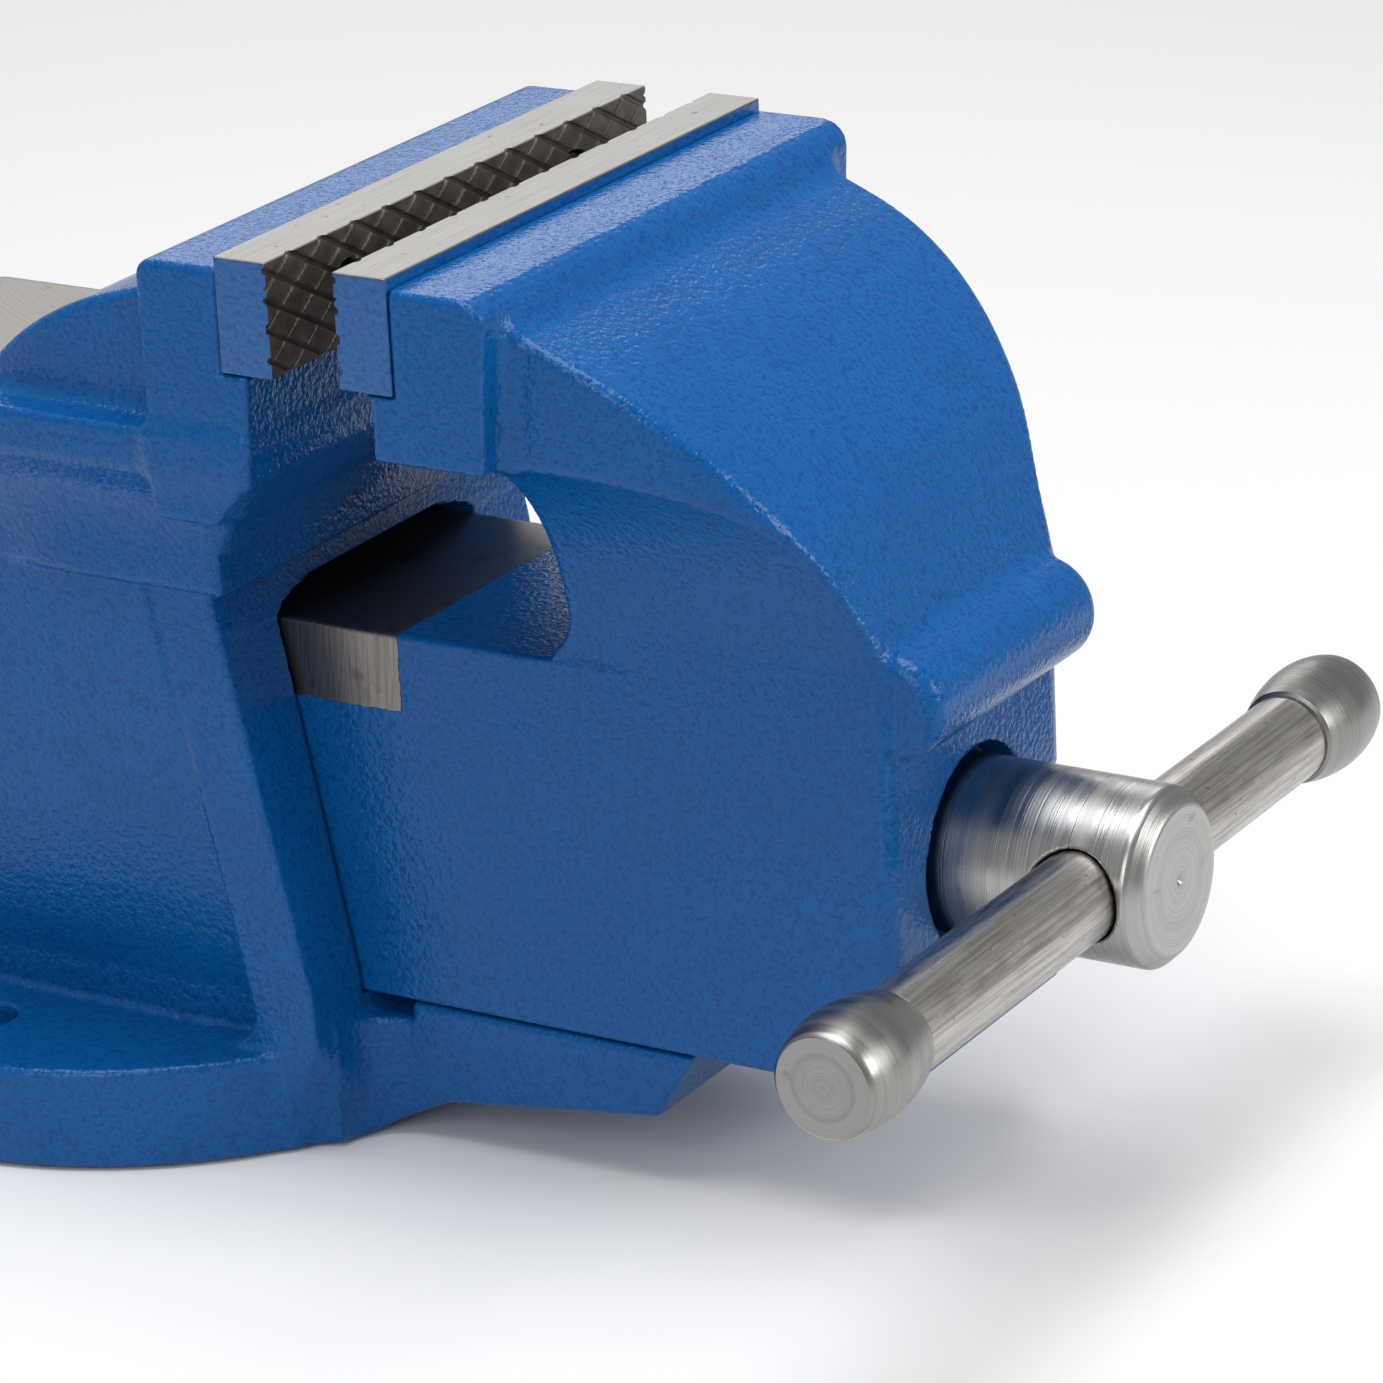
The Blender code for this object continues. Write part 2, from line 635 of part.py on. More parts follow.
def main_nut():
    """The threaded block that stands on the tunnel's floor inside the slide."""
    half = 22.0
    outline = [(-half, TUNNEL_FLOOR + GAP), (half, TUNNEL_FLOOR + GAP), *arc(0, SCREW_Z, half, 0, 180, 16)]
    nut = prism("main_nut_blank", outline, "XZ", NUT_FRONT, NUT_REAR)
    middle = (NUT_FRONT + NUT_REAR) / 2
    cut(nut, rod("nut_bore", "Y", (0, middle, SCREW_Z), THREAD_RADIUS + 0.35, 60))
    for y in NUT_BOLT_Y:
        cut(nut, rod(f"nut_foot_hole_{y:.0f}", "Z", (0, y, -171), 4.3, 22, 20))
    return finished(nut, "main_nut", BRONZE, 0.45, 1.0)


def nut_bolts():
    for name, y in zip(("front", "rear"), NUT_BOLT_Y):
        seat = -194 - GAP
        profile = [(4.4, 0), (8.2, 0), (8.2, -1.6), (4.4, -1.6)]
        washer = turned(f"nut_bolt_washer_{name}_blank", profile, "Z", (0, y, seat), 24)
        finished(washer, f"nut_bolt_washer_{name}", GROUND_STEEL, 0.4, 1.0)
        place = (0, y, seat - 1.6 - GAP)
        socket_screw(f"nut_bolt_{name}", place, -1, 6.5, 8.0, 4.0, 33, "Z")


# ---------------------------------------------------------------- assembly


def build_vise():
    body_casting()
    jaw_plate("rear_jaw_plate", 0, 1)
    jaw_plate_screws("rear_plate_screw", 0, 1)
    main_nut()
    nut_bolts()

    carrier = axis_empty("jaw_slide_axis", FRONT_PLATE_Y, SCREW_Z)
    sliding_jaw(carrier)
    jaw_plate("front_jaw_plate", FRONT_PLATE_Y, -1, carrier)
    jaw_plate_screws("front_plate_screw", FRONT_PLATE_Y, -1, carrier)
    ring("spring_washer", 14.4, 22, SPRING_WASHER_Y, SPRING_WASHER_Y + 2.5, GROUND_STEEL, 0.4, carrier)
    thrust_low = COUNTERBORE_FLOOR - GAP - 3
    ring("thrust_washer", 14.4, 19.2, thrust_low, thrust_low + 3, BRONZE, 0.4, carrier)

    spindle = axis_empty("screw_axis", BAR_Y, SCREW_Z)
    main_screw(spindle)
    retaining_spring(spindle)
    ring("retaining_collar", 14.35, 20, COLLAR_Y, COLLAR_Y + COLLAR_LENGTH, DARK_STEEL, 0.4, spindle)
    collar_pin(spindle)
    tommy_bar(spindle)
    tommy_knob("tommy_knob_left", BAR_LEFT, -1, spindle)
    tommy_knob("tommy_knob_right", BAR_RIGHT, 1, spindle)


build_vise()
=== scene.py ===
# %% [markdown]
# # A bench vise, cast, machined and painted
#
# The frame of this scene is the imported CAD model: it fixes every size, every joint and where each piece
# sits. This script makes the surfaces that a person would see and touch. The two iron castings come from
# distance fields, because a casting is soft at every edge and a field rounds each edge and fills each
# corner by a radius. Turned and cut steel comes from profiles and grids, and each finish is a material
# made of nodes.

# %% Load the frame
import math

import bpy
import numpy as np
from mathutils import Matrix, Vector


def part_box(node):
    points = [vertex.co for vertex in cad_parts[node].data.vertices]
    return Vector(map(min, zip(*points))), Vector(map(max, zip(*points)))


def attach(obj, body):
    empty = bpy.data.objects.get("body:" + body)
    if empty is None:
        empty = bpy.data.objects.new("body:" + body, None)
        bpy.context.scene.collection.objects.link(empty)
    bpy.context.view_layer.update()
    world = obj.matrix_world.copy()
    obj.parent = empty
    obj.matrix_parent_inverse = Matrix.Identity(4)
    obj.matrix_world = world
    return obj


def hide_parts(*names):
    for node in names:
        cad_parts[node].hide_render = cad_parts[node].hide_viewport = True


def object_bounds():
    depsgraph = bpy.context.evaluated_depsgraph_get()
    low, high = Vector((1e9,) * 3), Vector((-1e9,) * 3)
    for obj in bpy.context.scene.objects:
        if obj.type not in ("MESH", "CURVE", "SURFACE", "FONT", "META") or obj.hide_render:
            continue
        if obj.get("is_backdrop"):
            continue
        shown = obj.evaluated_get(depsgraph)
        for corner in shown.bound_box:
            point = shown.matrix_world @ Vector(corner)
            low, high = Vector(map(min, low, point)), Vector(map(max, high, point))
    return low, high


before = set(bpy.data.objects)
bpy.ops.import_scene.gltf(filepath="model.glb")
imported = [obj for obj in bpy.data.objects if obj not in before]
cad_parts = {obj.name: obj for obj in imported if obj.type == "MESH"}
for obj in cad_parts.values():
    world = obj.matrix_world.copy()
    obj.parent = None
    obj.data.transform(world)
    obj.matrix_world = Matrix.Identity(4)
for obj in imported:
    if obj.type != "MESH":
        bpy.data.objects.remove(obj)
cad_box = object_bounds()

print("nodes:", len(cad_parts))

# %% [markdown]
# ## One ruler for the whole vise
#
# A vise is drawn from its jaws. All outlines below are in millimetres: y starts at the fixed jaw's
# gripping face and is negative towards the handle, and z starts at the top of the jaw plates and is
# negative downwards. The two places come from the CAD plate, so the drawing sits on the frame by itself.

# %% The ruler
MM = 0.001
plate_low, plate_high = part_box("rear_jaw_plate")
GRIP_Y = plate_low.y
JAW_TOP = plate_high.z
HALF = plate_high.x / MM
BENCH_Z = -JAW_TOP / MM


def node_box(name):
    """The lowest and highest corners of a CAD node, in the drawing's millimetres."""
    shift = Vector((0, GRIP_Y, JAW_TOP))
    return [(corner - shift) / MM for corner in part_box(name)]


print(f"jaws {2 * HALF:.0f} mm wide, {-BENCH_Z:.1f} mm above the bench")

# %% [markdown]
# ## Distance fields
#
# A field gives each point of space its distance to a surface, negative inside. Two fields meet, join or
# carve each other with a radius: the rounded edge of a casting and the fillet in its corners are the same
# formula with the signs turned round. An outline's field is the distance to the nearest of its straight
# sides, so a flat drawing becomes a solid when it meets a slab of the third direction.


# %% Joining and cutting with a radius
def meet(a, b, radius=0.0):
    """What is inside both fields: max(a, b), with a quarter circle of the radius where both are near zero."""
    u = np.maximum(a + radius, 0)
    v = np.maximum(b + radius, 0)
    return np.minimum(np.maximum(a, b), -radius) + np.sqrt(u * u + v * v)


def join(a, b, radius=0.0):
    """What is inside either field, with a fillet of the radius in the corner between them."""
    return -meet(-a, -b, radius)


def carve(a, b, radius=0.0):
    """The first field without the second, with its new edges rounded."""
    return meet(a, -b, radius)


def span(t, low, high):
    """Distance outside the stretch from low to high along one axis."""
    return np.maximum(low - t, t - high)


def bar(a, b, centre_a, centre_b, radius):
    """Distance to a round bar seen end on: the distance to its centre, less its radius."""
    return np.hypot(a - centre_a, b - centre_b) - radius


def outline(a, b, points):
    """Distance to a closed polygon's nearest side, negative where a ray crosses an odd number of sides."""
    shape = np.broadcast(a, b).shape
    nearest = np.full(shape, 1e12, np.asarray(a).dtype)
    inside = np.zeros(shape, bool)
    for (a0, b0), (a1, b1) in zip(points, points[1:] + points[:1]):
        da, db = a1 - a0, b1 - b0
        along = np.clip(((a - a0) * da + (b - b0) * db) / (da * da + db * db), 0, 1)
        nearest = np.minimum(nearest, (a - a0 - along * da) ** 2 + (b - b0 - along * db) ** 2)
        if db:
            crosses = (b0 > b) != (b1 > b)
            inside ^= crosses & (a < a0 + (b - b0) * (da / db))
    distance = np.sqrt(nearest)
    return np.where(inside, -distance, distance)


def arc(a, b, radius, start, end, steps=8):
    """Points on a circle round (a, b) from one angle to another, in degrees."""
    turns = np.radians(np.linspace(start, end, steps + 1))
    return [(a + radius * math.cos(t), b + radius * math.sin(t)) for t in turns]


NEARLY_STRAIGHT = math.radians(172)


def softened(points, radius, steps=4):
    """An outline with rounded corners: each is a quadratic curve, near to an arc, tangent to both sides."""
    made = []
    for i, here in enumerate(points):
        here = Vector(here)
        before = Vector(points[i - 1]) - here
        after = Vector(points[(i + 1) % len(points)]) - here
        opening = before.angle(after)
        if opening > NEARLY_STRAIGHT:
            made.append(tuple(here))
            continue
        room = 0.45 * min(before.length, after.length)
        reach = min(radius / math.tan(opening / 2), room)
        start = here + before.normalized() * reach
        end = here + after.normalized() * reach
        for t in np.linspace(0, 1, steps + 1):
            point = start * (1 - t) ** 2 + here * (2 * t * (1 - t)) + end * t**2
            made.append(tuple(point))
    return made


# %% [markdown]
# ## From a field to a mesh
#
# Surface nets put one vertex in each small cube that the surface passes through, and one face across each
# grid edge that it cuts. The vertices then slide along the field's slope until the distance is zero,
# which removes the grid's steps. The slope is also the exact normal, so the shading follows the true
# surface, and flat areas can be dissolved to large faces without a trace.


# %% Surface nets
def slope(field, points):
    """The field's gradient at each point, from four samples at the corners of a small tetrahedron."""
    step = 0.04
    total = np.zeros_like(points)
    for corner in np.array([(1, -1, -1), (-1, -1, 1), (-1, 1, -1), (1, 1, 1)], float):
        moved = points + corner * step
        total += corner * field(moved[:, 0], moved[:, 1], moved[:, 2])[:, None]
    return total / (4 * step)


def net(field, low, high, cell):
    """Vertices and four-sided faces of the field's zero surface inside a box."""
    axes = [np.arange(a, b + cell, cell).astype(np.float32) for a, b in zip(low, high)]
    values = field(*np.ix_(*axes)).astype(np.float32)
    inside = values < 0
    corners = [np.array((i, j, k)) for i in (0, 1) for j in (0, 1) for k in (0, 1)]
    cells = tuple(n - 1 for n in values.shape)
    count = sum(inside[tuple(slice(s, s + n) for s, n in zip(c, cells))].astype(np.uint8) for c in corners)
    active = np.argwhere((count > 0) & (count < 8))
    at = [values[tuple((active + c).T)] for c in corners]
    total, crossings = np.zeros((len(active), 3)), np.zeros(len(active))
    pairs = [(p, q) for p in range(8) for q in range(p + 1, 8)]
    for p, q in pairs:
        if abs(corners[p] - corners[q]).sum() > 1:
            continue
        cut = (at[p] < 0) != (at[q] < 0)
        t = np.where(cut, at[p] / np.where(cut, at[p] - at[q], 1), 0)
        total += cut[:, None] * (corners[p] + t[:, None] * (corners[q] - corners[p]))
        crossings += cut
    points = (active + total / crossings[:, None]) * cell + np.array(low)
    number = np.full(cells, -1, np.int32)
    number[tuple(active.T)] = np.arange(len(active))
    faces = []
    for axis in range(3):
        ahead, side, up = np.roll(np.eye(3, dtype=int), -axis, 0)
        here = inside[tuple(slice(0, n - s) for n, s in zip(inside.shape, ahead))]
        there = inside[tuple(slice(s, n) for n, s in zip(inside.shape, ahead))]
        edges = np.argwhere(here != there)
        across = edges @ np.array([side, up]).T
        room = np.array([cells @ side, cells @ up])
        edges = edges[((across > 0) & (across < room)).all(1)]
        quad = np.stack([number[tuple((edges - d).T)] for d in (side + up, up, 0 * up, side)], 1)
        faces.append(np.where(here[tuple(edges.T)][:, None], quad, quad[:, ::-1]))
    return points, np.concatenate(faces)


def settled(field, points, cell):
    """Slide each point along the slope where it started, by its distance, in a few steps."""
    direction = slope(field, points)
    direction /= np.maximum((direction**2).sum(1), 0.2)[:, None]
    for _ in range(3):
        distance = field(points[:, 0], points[:, 1], points[:, 2])
        points = points - np.clip(distance, -cell / 2, cell / 2)[:, None] * direction
    return points


def to_world(points):
    """Millimetres of the drawing to metres of the frame."""
    return np.asarray(points) * MM + np.array([0, GRIP_Y, JAW_TOP])


def new_piece(name, points, faces):
    """A mesh object from arrays in millimetres, standing at the origin with its place in its vertices."""
    mesh = bpy.data.meshes.new(name)
    mesh.from_pydata(to_world(points).tolist(), [], [list(face) for face in faces])
    mesh.shade_smooth()
    piece = bpy.data.objects.new(name, mesh)
    bpy.context.scene.collection.objects.link(piece)
    return piece


def coordinates(mesh):
    """The places of a mesh's vertices in the drawing's millimetres."""
    flat = np.empty(len(mesh.vertices) * 3, np.float32)
    mesh.vertices.foreach_get("co", flat)
    return (flat.reshape(-1, 3).astype(float) - np.array([0, GRIP_Y, JAW_TOP])) / MM


def from_field(name, field, low, high, cell, halved=True, flat_angle=0.6):
    """A piece from a field: a net, settled, with its flats dissolved and the field's slope as its normals.

    A piece that is the same on both sides of x = 0 is made as a half, with its first cells on the middle.
    """
    if halved:
        low = (-cell / 2, *low[1:])
    points, faces = net(field, low, high, cell)
    middle = points[:, 0] < cell / 2
    points = settled(field, points, cell)
    if halved:
        points[middle, 0] = 0
    piece = new_piece(name, points, faces.tolist())
    flats = piece.modifiers.new("flats", "DECIMATE")
    flats.decimate_type = "DISSOLVE"
    flats.angle_limit = math.radians(flat_angle)
    if halved:
        mirror = piece.modifiers.new("other_side", "MIRROR")
        mirror.merge_threshold = 1e-6
    graph = bpy.context.evaluated_depsgraph_get()
    mesh = bpy.data.meshes.new_from_object(piece.evaluated_get(graph))
    piece.modifiers.clear()
    piece.data = mesh
    normals = slope(field, coordinates(mesh))
    normals /= np.maximum(np.linalg.norm(normals, axis=1, keepdims=True), 1e-9)
    mesh.shade_smooth()
    mesh.normals_split_custom_set_from_vertices(normals.tolist())
    triangles = sum(len(p.vertices) - 2 for p in mesh.polygons)
    print(f"{name}: {len(faces)} squares in the net, {triangles} triangles in the piece")
    return piece


# %% [markdown]
# ## The body
#
# The body is one iron casting: the jaw block, the hood that braces it from behind, a rail along each
# side, the neck that narrows under the rails, the housing round the slide, a leaning rim at the housing's
# front, the round flange, a flat anvil behind, and a tongue that reaches out under the front jaw.

# %% Shapes that both castings share
EDGE = 1.5  # the usual edge radius of these castings


def hood_top(start, direction, lead_angle, lead_run, radius, last_angle, foot_z):
    """A hood's top line: a straight shallow lead, one arc, and a straight steep run down to foot_z."""
    y, z = start
    a0, a1 = math.radians(lead_angle), math.radians(last_angle)
    y, z = y + direction * lead_run, z - lead_run * math.tan(a0)
    points = [start]
    for a in np.linspace(a0, a1, 25):
        across = radius * (math.sin(a) - math.sin(a0))
        down = radius * (math.cos(a0) - math.cos(a))
        points.append((y + direction * across, z - down))
    end_y, end_z = points[-1]
    return points + [(end_y + direction * (end_z - foot_z) / math.tan(a1), foot_z)]


def hood_plan(root_y, straight_y, end_y, half, radius):
    """Half of a hood seen from above: a straight wall at x = half, then an arc that draws it in to end_y."""
    direction = 1 if end_y > root_y else -1
    reach = math.asin(abs(end_y - straight_y) / radius)
    side = [(-40, root_y), (half, root_y)]
    for a in np.linspace(0, reach, 25):
        side.append((half - radius * (1 - math.cos(a)), straight_y + direction * radius * math.sin(a)))
    return side + [(-40, end_y)]


def cove(side, z, inner, centre_x, centre_z, radius):
    """The hollow under a hood, for x >= 0: outside a straight wall, under a quarter circle."""
    corner = [(inner, -260), (inner, centre_z), *arc(centre_x, centre_z, radius, 180, 90, 24)]
    corner += [(centre_x + 80, centre_z + radius), (centre_x + 80, -260)]
    return outline(side, z, corner)


# %% The body's outlines
BASE_Y = -GRIP_Y / MM
BASE_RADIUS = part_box("body_casting")[1].x / MM
FLANGE_THICK = 23.8
FLANGE_TOP = BENCH_Z + FLANGE_THICK
SOLE_Z = BENCH_Z + 0.4  # the rim and the tongue end just inside the flange's underside
LEDGE_Z = -25.5
TUNNEL_TOP, TUNNEL_FLOOR, TUNNEL_HALF = -92.4, -179.9, 39.0
ANVIL_TOP = -56.0
PLATE_SEAT_Y = 13.3  # the plate stands 0.3 mm clear of its seat
PLATE_SCREW_X, PLATE_SCREW_Z = 45.0, -12.5
PLATE_THREAD_RADIUS = 3.3
BENCH_BOLT_REACH, BENCH_BOLT_RADIUS = 68, 6.5
NUT_BOLTS_Y, NUT_BOLT_RADIUS = (33, 53), 4.6
NUT_HEAD_RADIUS, NUT_HEAD_TOP, NUT_HOLE_TOP = 8.8, -194, -178
SCREW_Z = sum(corner.z for corner in node_box("main_screw")) / 2

fixed_jaw = [(5, -2.6), *arc(29.7, -6.6, 4, 90, 0, 5), (33.7, -60), (18, -60), (9.4, -49.4)]
fixed_jaw += [(7.9, -41), (7.1, -27), (5, -20)]
rear_hood_side = [(25, -10.6), *hood_top((33.7, -10.6), 1, 15, 12.9, 88, 66, -80), (25, -80)]
rear_hood_plan = hood_plan(20, 60, 118, 66, 77.7)
neck_side = [(9, -40), (9.4, -49.4), (31.5, -76), (32.3, -78), (29, -94), (104, -94), (104, -64)]
neck_side += [(96, -50), (86, -41), (84, -40)]
neck_plan = hood_plan(0, 75, 106, 75, 41)
panel = [(-40, -57.5), (48, -57.5), (63, -67), (60.3, -112), (58, -140), (56, -156), (54, -168)]
panel += [(51.5, -178), (51, -205), (-40, -205)]
housing_side = [(48.3, -50), (48.3, -77), (30, -174), (28, -205), (150, -205), (150, -112)]
housing_side += [(168, -80), (168, -50)]
rim_side = [(32.3, -77), (14.1, -173.7), (12, -205.7), (12, SOLE_Z), (44, SOLE_Z), (44, FLANGE_TOP)]
rim_side += [*arc(39.5, FLANGE_TOP + 9.6, 10, 262, 190, 5), (48.3, -77)]
tongue_side = [(34, TUNNEL_FLOOR), (15, TUNNEL_FLOOR), (15, -184), (1.6, -184), (1.6, TUNNEL_FLOOR)]
tongue_side += [(-70.6, TUNNEL_FLOOR), (-61, -195.4), (-6.5, -202.7), (12, SOLE_Z), (34, SOLE_Z)]
tongue_plan = [(-40, -90), (38.5, -90), *arc(50.5, 2, 12, 180, 90), (50.5, 40), (-40, 40)]
mouth_end = [(-40, -88), (25, -88), (37, -91), (39, -93), (39, -97), (-40, -97)]
anvil_plan = [(-40, 80), (48, 80), *arc(44, 164, 4, 0, 90, 4), (-40, 168)]


def body_field(x, y, z):
    """The body casting, the same on both sides of x = 0."""
    side = np.abs(x)
    out = np.hypot(x, y - BASE_Y)
    block = meet(outline(y, z, softened(fixed_jaw, 2.5)), side - HALF, EDGE)
    hood = meet(outline(y, z, rear_hood_side), outline(side, y, rear_hood_plan), 2.2)
    neck = meet(outline(y, z, softened(neck_side, 3)), outline(side, y, neck_plan), EDGE)
    neck = carve(neck, cove(side, z, 58, 118, -91.5, 60), EDGE)
    walls = meet(outline(side, z, softened(panel, 3)), outline(y, z, softened(housing_side, 4)), EDGE)
    rim_width = span(side, -60, 61.0 + (z + 76) * (2.0 / 98))  # 2 mm narrower at the foot
    rim = meet(outline(y, z, rim_side), rim_width, EDGE)
    # a cone that widens upwards keeps the rim's foot on the round base
    foot = out - np.clip(BASE_RADIUS + 9 + (z + 184) * 0.45, BASE_RADIUS, BASE_RADIUS + 60)
    rim = meet(rim, foot, EDGE)
    flange = meet(out - BASE_RADIUS, span(z, BENCH_Z, FLANGE_TOP), 1.8)
    shelf = meet(outline(y, z, softened(tongue_side, 1)), outline(side, y, tongue_plan), EDGE)
    pad = meet(outline(side, y, anvil_plan), span(z, -76, ANVIL_TOP), 1.0)
    solid = join(hood, block, 5)
    solid = join(solid, neck, 4)
    solid = join(solid, walls, 1.5)
    solid = join(solid, pad, 3)
    solid = join(solid, rim, 1.2)
    solid = join(solid, flange, 2.0)
    solid = join(solid, shelf, 3)
    tunnel = meet(side - TUNNEL_HALF, meet(span(z, TUNNEL_FLOOR, TUNNEL_TOP), 10 - y), 0.1)
    mouth = meet(outline(side, z, mouth_end), span(y, 5, 60))
    solid = carve(solid, join(tunnel, mouth, 0.5), 0.8)
    solid = carve(solid, meet(y - PLATE_SEAT_Y, LEDGE_Z - z), 0.15)
    solid = meet(solid, BENCH_Z - z, 0.3)
    for hole_x, hole_y in ((BENCH_BOLT_REACH, BASE_Y), (0, BASE_Y + BENCH_BOLT_REACH)):
        hole = bar(side, y, hole_x, hole_y, BENCH_BOLT_RADIUS)
        solid = carve(solid, meet(hole, z - FLANGE_TOP - 8), 0.6)
    for hole_y in NUT_BOLTS_Y:
        recess = meet(bar(side, y, 0, hole_y, NUT_HEAD_RADIUS), z - NUT_HEAD_TOP)
        hole = join(bar(side, y, 0, hole_y, NUT_BOLT_RADIUS), recess)
        solid = carve(solid, meet(hole, z - NUT_HOLE_TOP), 0.3)
    threads = bar(side, z, PLATE_SCREW_X, PLATE_SCREW_Z, PLATE_THREAD_RADIUS)
    return carve(solid, meet(threads, span(y, 10, 32)))


# %% Cast the body
CELL = 1.1
body = from_field("body_cast", body_field, (-96, -75, BENCH_Z - 2.2), (96, 193, 0), CELL)
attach(body, "body")
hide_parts("body_casting")

# %% [markdown]
# ## The front jaw
#
# The front jaw and its slide are one casting too. The hood carries the screw's thrust from the front wall
# to the jaw block, and under its side walls the metal is scooped away to save weight. The slide is an
# upturned channel, so that the nut can stand inside it.

# %% The front jaw's outlines
SLIDE_HALF, SLIDE_TOP, SLIDE_FOOT = 38.0, -93.0, -179.4
FRONT_Y = -121.0
SLIDE_REAR = node_box("sliding_jaw")[1].y
FRONT_PLATE_SEAT = node_box("front_jaw_plate")[0].y - 0.3
SCREW_BORE, COUNTERBORE, COUNTERBORE_DEPTH = 14.6, 22.3, 8
LIP_HALF, LIP_RADIUS = 36.3, 11.7
LIP_Y, LIP_Z = -120.9, -92.9
CHANNEL_HALF, CHANNEL_TOP, CHANNEL_START = 28, -105, -95

front_block = [(-20, -2.6), (-46.3, -2.6), *arc(-46.3, -8.6, 6, 110, 180, 5), (-50.3, -40), (-23.7, -40)]
front_block += [(-23.7, -27), (-20, -22)]
front_hood_side = [(-44, -10.6), *hood_top((-52.3, -10.6), -1, 23, 13, 92, 66, -84)]
front_hood_side += [(FRONT_Y, -84), (FRONT_Y, -130), (-30, -130), (-30, -50), (-44, -50)]
front_hood_plan = hood_plan(-40, -61.3, -123.5, 66, 77.7)
slide_plan = [(-40, FRONT_Y), *arc(SLIDE_HALF - 5, FRONT_Y + 5, 5, -90, 0, 5), (SLIDE_HALF, SLIDE_REAR)]
slide_plan += [(-40, SLIDE_REAR)]
throat = [(40, -40), *arc(-39.2, -46, 6, 90, 180, 5), *arc(-34.2, -82, 11, 180, 270, 8), (40, SLIDE_TOP)]


def jaw_field(x, y, z):
    """The front jaw with its hood and its slide, the same on both sides of x = 0."""
    side = np.abs(x)
    slide = meet(outline(side, y, slide_plan), span(z, SLIDE_FOOT, SLIDE_TOP), 0.9)
    wall = meet(outline(side, y, slide_plan), meet(span(z, -125, -86), y + 60), 0.9)
    hood = meet(outline(y, z, front_hood_side), outline(side, y, front_hood_plan), 2.2)
    hood = carve(hood, cove(side, z, SLIDE_HALF, 98, -91, 60), EDGE)
    solid = join(join(slide, wall), hood, 1.0)
    solid = carve(solid, outline(y, z, throat), EDGE)
    block = meet(outline(y, z, front_block), side - HALF, EDGE)
    solid = join(solid, block, 5)
    lip = meet(side - LIP_HALF, bar(y, z, LIP_Y, LIP_Z, LIP_RADIUS), 4)
    solid = join(solid, lip, 2.5)
    solid = carve(solid, meet(FRONT_PLATE_SEAT - y, LEDGE_Z - z), 0.15)
    channel = meet(meet(side - CHANNEL_HALF, z - CHANNEL_TOP, 4), CHANNEL_START - y, 3)
    solid = carve(solid, channel, 0.8)
    out = np.hypot(x, z - SCREW_Z)
    bore = join(out - SCREW_BORE, meet(out - COUNTERBORE, y - (FRONT_Y + COUNTERBORE_DEPTH), 0.2))
    bore = meet(bore, y + 80)
    solid = carve(solid, bore, 0.7)
    threads = bar(side, z, PLATE_SCREW_X, PLATE_SCREW_Z, PLATE_THREAD_RADIUS)
    return carve(solid, meet(threads, span(y, -48, -26)))


# %% Cast the front jaw
jaw = from_field("front_jaw_cast", jaw_field, (-77, -136, -181), (77, SLIDE_REAR + 2, 0), CELL)
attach(jaw, "front_jaw")
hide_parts("sliding_jaw")

# %% [markdown]
# ## The jaw plates
#
# Each plate is a hard steel bar with crossed grooves cut into its gripping face and two screw holes. A
# groove is a shallow wedge round a slanting line, and a family of them is one wedge repeated by the
# remainder of a division, so a whole pattern is carved as one field. One family is wider than the other.

# %% Gripping plates
PLATE_THICK, PLATE_HEIGHT = 13.0, 25.2
PLATE_HOLE, PLATE_HEAD_HOLE, PLATE_HEAD_DEPTH = 3.4, 5.4, 8
WIDE_GROOVES = {"slant": -0.54, "pitch": 12.0, "width": 1.5, "depth": 0.8}
FINE_GROOVES = {"slant": 0.66, "pitch": 12.0, "width": 0.9, "depth": 0.6}


def grooves(x, z, depth_in, slant, pitch, width, depth):
    """Wedges along slanting lines, one every pitch along x: the nearer the line, the deeper the cut."""
    across = (z - slant * x) / math.hypot(1, slant)
    step = pitch * abs(slant) / math.hypot(1, slant)
    off = np.abs((across / step) % 1 - 0.5) * step
    floor = depth * np.clip(1.6 * (1 - 2 * off / width), -1, 1)
    return (depth_in - floor) / math.hypot(1, 2 * depth / width)


def plate_field(grip_y, direction):
    """A plate whose gripping face is at grip_y and whose thickness runs in direction."""

    def field(x, y, z):
        depth_in = direction * (y - grip_y)
        face = meet(np.abs(x) - HALF, span(z, -PLATE_HEIGHT, 0), 0.3)
        solid = meet(face, span(depth_in, 0, PLATE_THICK), 0.3)
        for family in (WIDE_GROOVES, FINE_GROOVES):
            solid = carve(solid, grooves(x, z, depth_in, **family), 0.1)
        out = bar(np.abs(x), z, PLATE_SCREW_X, PLATE_SCREW_Z, 0)
        hole = join(out - PLATE_HOLE, meet(out - PLATE_HEAD_HOLE, depth_in - PLATE_HEAD_DEPTH))
        return carve(solid, hole, 0.3)

    return field


FRONT_GRIP_Y = node_box("front_jaw_plate")[1].y
REAR_SIDE = ("rear", 0.0, 1, "body")
FRONT_SIDE = ("front", FRONT_GRIP_Y, -1, "front_jaw")
plate_cell = 0.45
plates = []
for side, grip_y, direction, carrier in (REAR_SIDE, FRONT_SIDE):
    low_y, high_y = sorted((grip_y, grip_y + direction * PLATE_THICK))
    box = (-HALF - 1, low_y - 1, -PLATE_HEIGHT - 1), (HALF + 1, high_y + 1, 1)
    plate = from_field(f"{side}_plate_cut", plate_field(grip_y, direction), *box, plate_cell, False, 0.4)
    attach(plate, carrier)
    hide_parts(f"{side}_jaw_plate")
    plates.append(plate)

# %% [markdown]
# ## Turned pieces
#
# A lathe makes a surface from a profile: each point of it has a radius and a place along the axis, and a
# ring of vertices goes round at that radius. A screw thread is the same surface with a radius that
# depends on the angle and on the place together, so one function turns every row of radii into a closed
# mesh.


